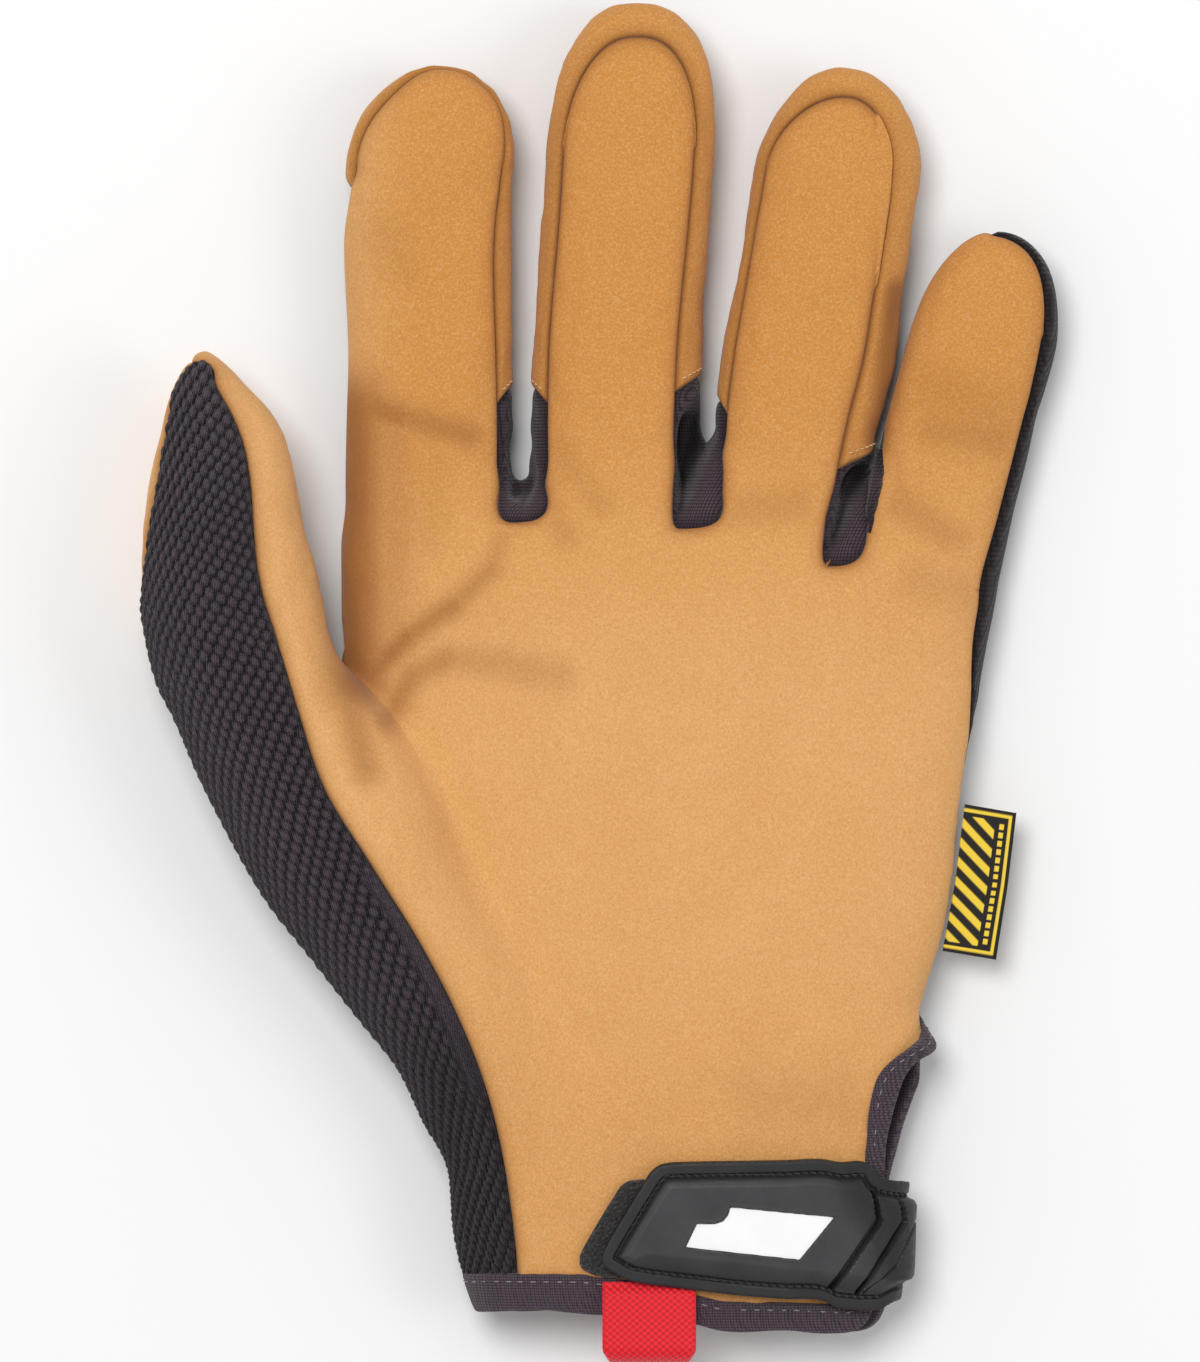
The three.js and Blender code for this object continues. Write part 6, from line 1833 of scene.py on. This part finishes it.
label_grid = np.concatenate([label_plan, label_rise[..., None]], axis=-1)
label_finish = Finish("label_weave", 0.75, sheen=0.1, specular=0.25)
label_colour = label_finish.blend(label_finish.number("yellow"), tone(34, 31, 29), tone(238, 206, 66))
label_mesh = sheet_of("side_label", label_grid)
add_number(label_mesh, "yellow", yellow.ravel())
label = piece("side_label_weave", label_mesh, label_grid, ["side_label"],
              label_finish.done(label_colour, label_finish.cloud(0.25, 1), 0.05, 0.5))
wall(label, LABEL_WALL)

# %% [markdown]
# Stitches are short arcs of thread, each a low tube that dives into the cloth at both ends. A texture of
# stitches would look flat in grazing light. All arcs of a seam are one mesh: an array of stitch by ring by
# side by xyz.

# %% Stitches
THREAD_RINGS, THREAD_SIDES = 7, 6


def stitches(name, path, up, pitch, length, radius, colour, slant=0.0, height=0.1):
    """Arcs of thread along a path: rings round a line that rises as a half sine between two holes."""
    step = np.concatenate([[0], np.cumsum(np.linalg.norm(np.diff(path, axis=0), axis=-1))])
    start = np.arange(0.3, step[-1] - length, pitch)
    t = np.linspace(0, 1, THREAD_RINGS)
    at = start[:, None] + t * length
    line = np.stack([np.interp(at, step, path[:, axis]) for axis in range(3)], axis=-1)
    top = unit(np.stack([np.interp(at, step, up[:, axis]) for axis in range(3)], axis=-1))
    side = unit(np.cross(np.gradient(line, axis=1), top))
    line = line + side * (slant * (t - 0.5))[None, :, None]
    line = line + top * (np.sin(math.pi * t) * (radius + height) - radius * 0.6)[None, :, None]
    angle = np.linspace(0, 2 * math.pi, THREAD_SIDES + 1)[:-1]
    thick = radius * np.sqrt(np.clip(np.sin(math.pi * (0.08 + 0.84 * t)), 0, 1))
    ring = side[:, :, None] * np.cos(angle)[:, None] + top[:, :, None] * np.sin(angle)[:, None]
    rings = line[:, :, None] + ring * thick[None, :, None, None]
    n = np.arange(rings[..., 0].size).reshape(rings.shape[:3])
    beside = np.roll(n, -1, axis=2)
    quads = np.stack([n[:, :-1], beside[:, :-1], beside[:, 1:], n[:, 1:]], axis=-1)
    ends = np.concatenate([n[:, 0, ::-1], n[:, -1]])
    mesh = bpy.data.meshes.new(name)
    mesh.from_pydata(rings.reshape(-1, 3), [], quads.reshape(-1, 4).tolist() + ends.tolist())
    thread = Finish(name + "_thread", 0.6, sheen=0.2, specular=0.4)
    darker = (*(0.7 * part for part in colour[:3]), 1)
    tint = thread.blend(thread.range(thread.cloud(0.4, 1), 0.3, 0.7), colour, darker)
    return piece(name, mesh, rings, [], thread.done(tint))


def along_edge(q, edge, right, up):
    """Places beside one edge of the strap, moved to the right and upwards."""
    return np.column_stack([q + right, STRAP_EDGE(q, edge) + up])


# The strap's stitches lie in its groove, along its top, down its slanting end and back along its lower side
groove = np.vstack([along_edge(np.linspace(56, 13.5, 120), "upper", 0, -GROOVE_IN),
                    along_edge(np.linspace(11.5, 3.6, 30), "upper", 2.0, -1.3),
                    along_edge(np.linspace(5, 53, 140), "lower", 0, GROOVE_IN)])
groove = even(np.column_stack([groove, np.zeros(len(groove))]), 0.4)
groove_foot = foot_at(groove[:, 0], groove[:, 1])
groove_up = unit(outward(groove_foot))
groove_line = groove_foot + groove_up * (strap_lift(groove[:, 0]) + FLANGE - 0.42)[:, None]
stitches("strap_stitches", groove_line, groove_up, 1.5, 1.3, 0.25, tone(34, 33, 34), 0.4, 0.28)

# Rows of stitches across the bands' ends, each just inside its band: finger, row and last place of its side
TACKS = ((0, last_cut - 2, 9), (1, first_cut + 2, 9), (1, last_cut - 2, 12), (2, last_cut - 2, 12))
for number, (finger, row, last) in enumerate(TACKS):
    line = even(side_grids[finger][row, 1:last], 0.2)
    stitches(f"bar_tack_{number + 1}", line, unit(outward(line)), 1.3, 0.9, 0.16, tone(232, 190, 134), 0.1,
             0.12)

sewn_line = tape_path + tape_out * 0.3 + tape_up * (TAPE_OVER - 0.1)
stitches("tape_stitches", sewn_line, tape_up, 2.4, 1.1, 0.13, tone(150, 140, 145), 0.0, 0.03)

# %% [markdown]
# The glove lies on a plain white floor under a large soft light near the camera, which leaves the edges of
# round forms a little darker, with light from all round to fill the shadows. The picture keeps plain colours,
# as a photograph for a catalogue does.

# %% Floor and light
REACH = 3.0
FLOOR_DROP = 0.05 * MM

floor_mesh = bpy.data.meshes.new("floor")
floor_mesh.from_pydata([(-REACH, -REACH, 0), (REACH, -REACH, 0), (REACH, REACH, 0), (-REACH, REACH, 0)], [],
                       [(0, 1, 2, 3)])
floor = bpy.data.objects.new("floor", floor_mesh)
bpy.context.scene.collection.objects.link(floor)
floor_finish = Finish("floor_paint", 0.9).done((0.93, 0.93, 0.93, 1))
floor_mesh.materials.append(floor_finish)
floor.location.z = -FLOOR_DROP

world = bpy.data.worlds.new("studio")
world.use_nodes = True
world.node_tree.nodes["Background"].inputs["Color"].default_value = (1, 1, 1, 1)
world.node_tree.nodes["Background"].inputs["Strength"].default_value = 0.45
bpy.context.scene.world = world


def soft_light(name, place, size, power):
    """A round area light that faces the glove."""
    light = bpy.data.lights.new(name, "AREA")
    light.shape = "DISK"
    light.size = size
    light.energy = power
    obj = bpy.data.objects.new(name, light)
    obj.location = place
    obj.rotation_euler = (-mathutils.Vector(place)).to_track_quat("-Z", "Y").to_euler()
    bpy.context.scene.collection.objects.link(obj)


soft_light("key", (-0.35, 0.5, 1.9), 0.9, 22)
soft_light("fill", (1.3, -0.1, 1.3), 0.9, 5)
bpy.context.scene.view_settings.view_transform = "Standard"
print("a floor and two lights")
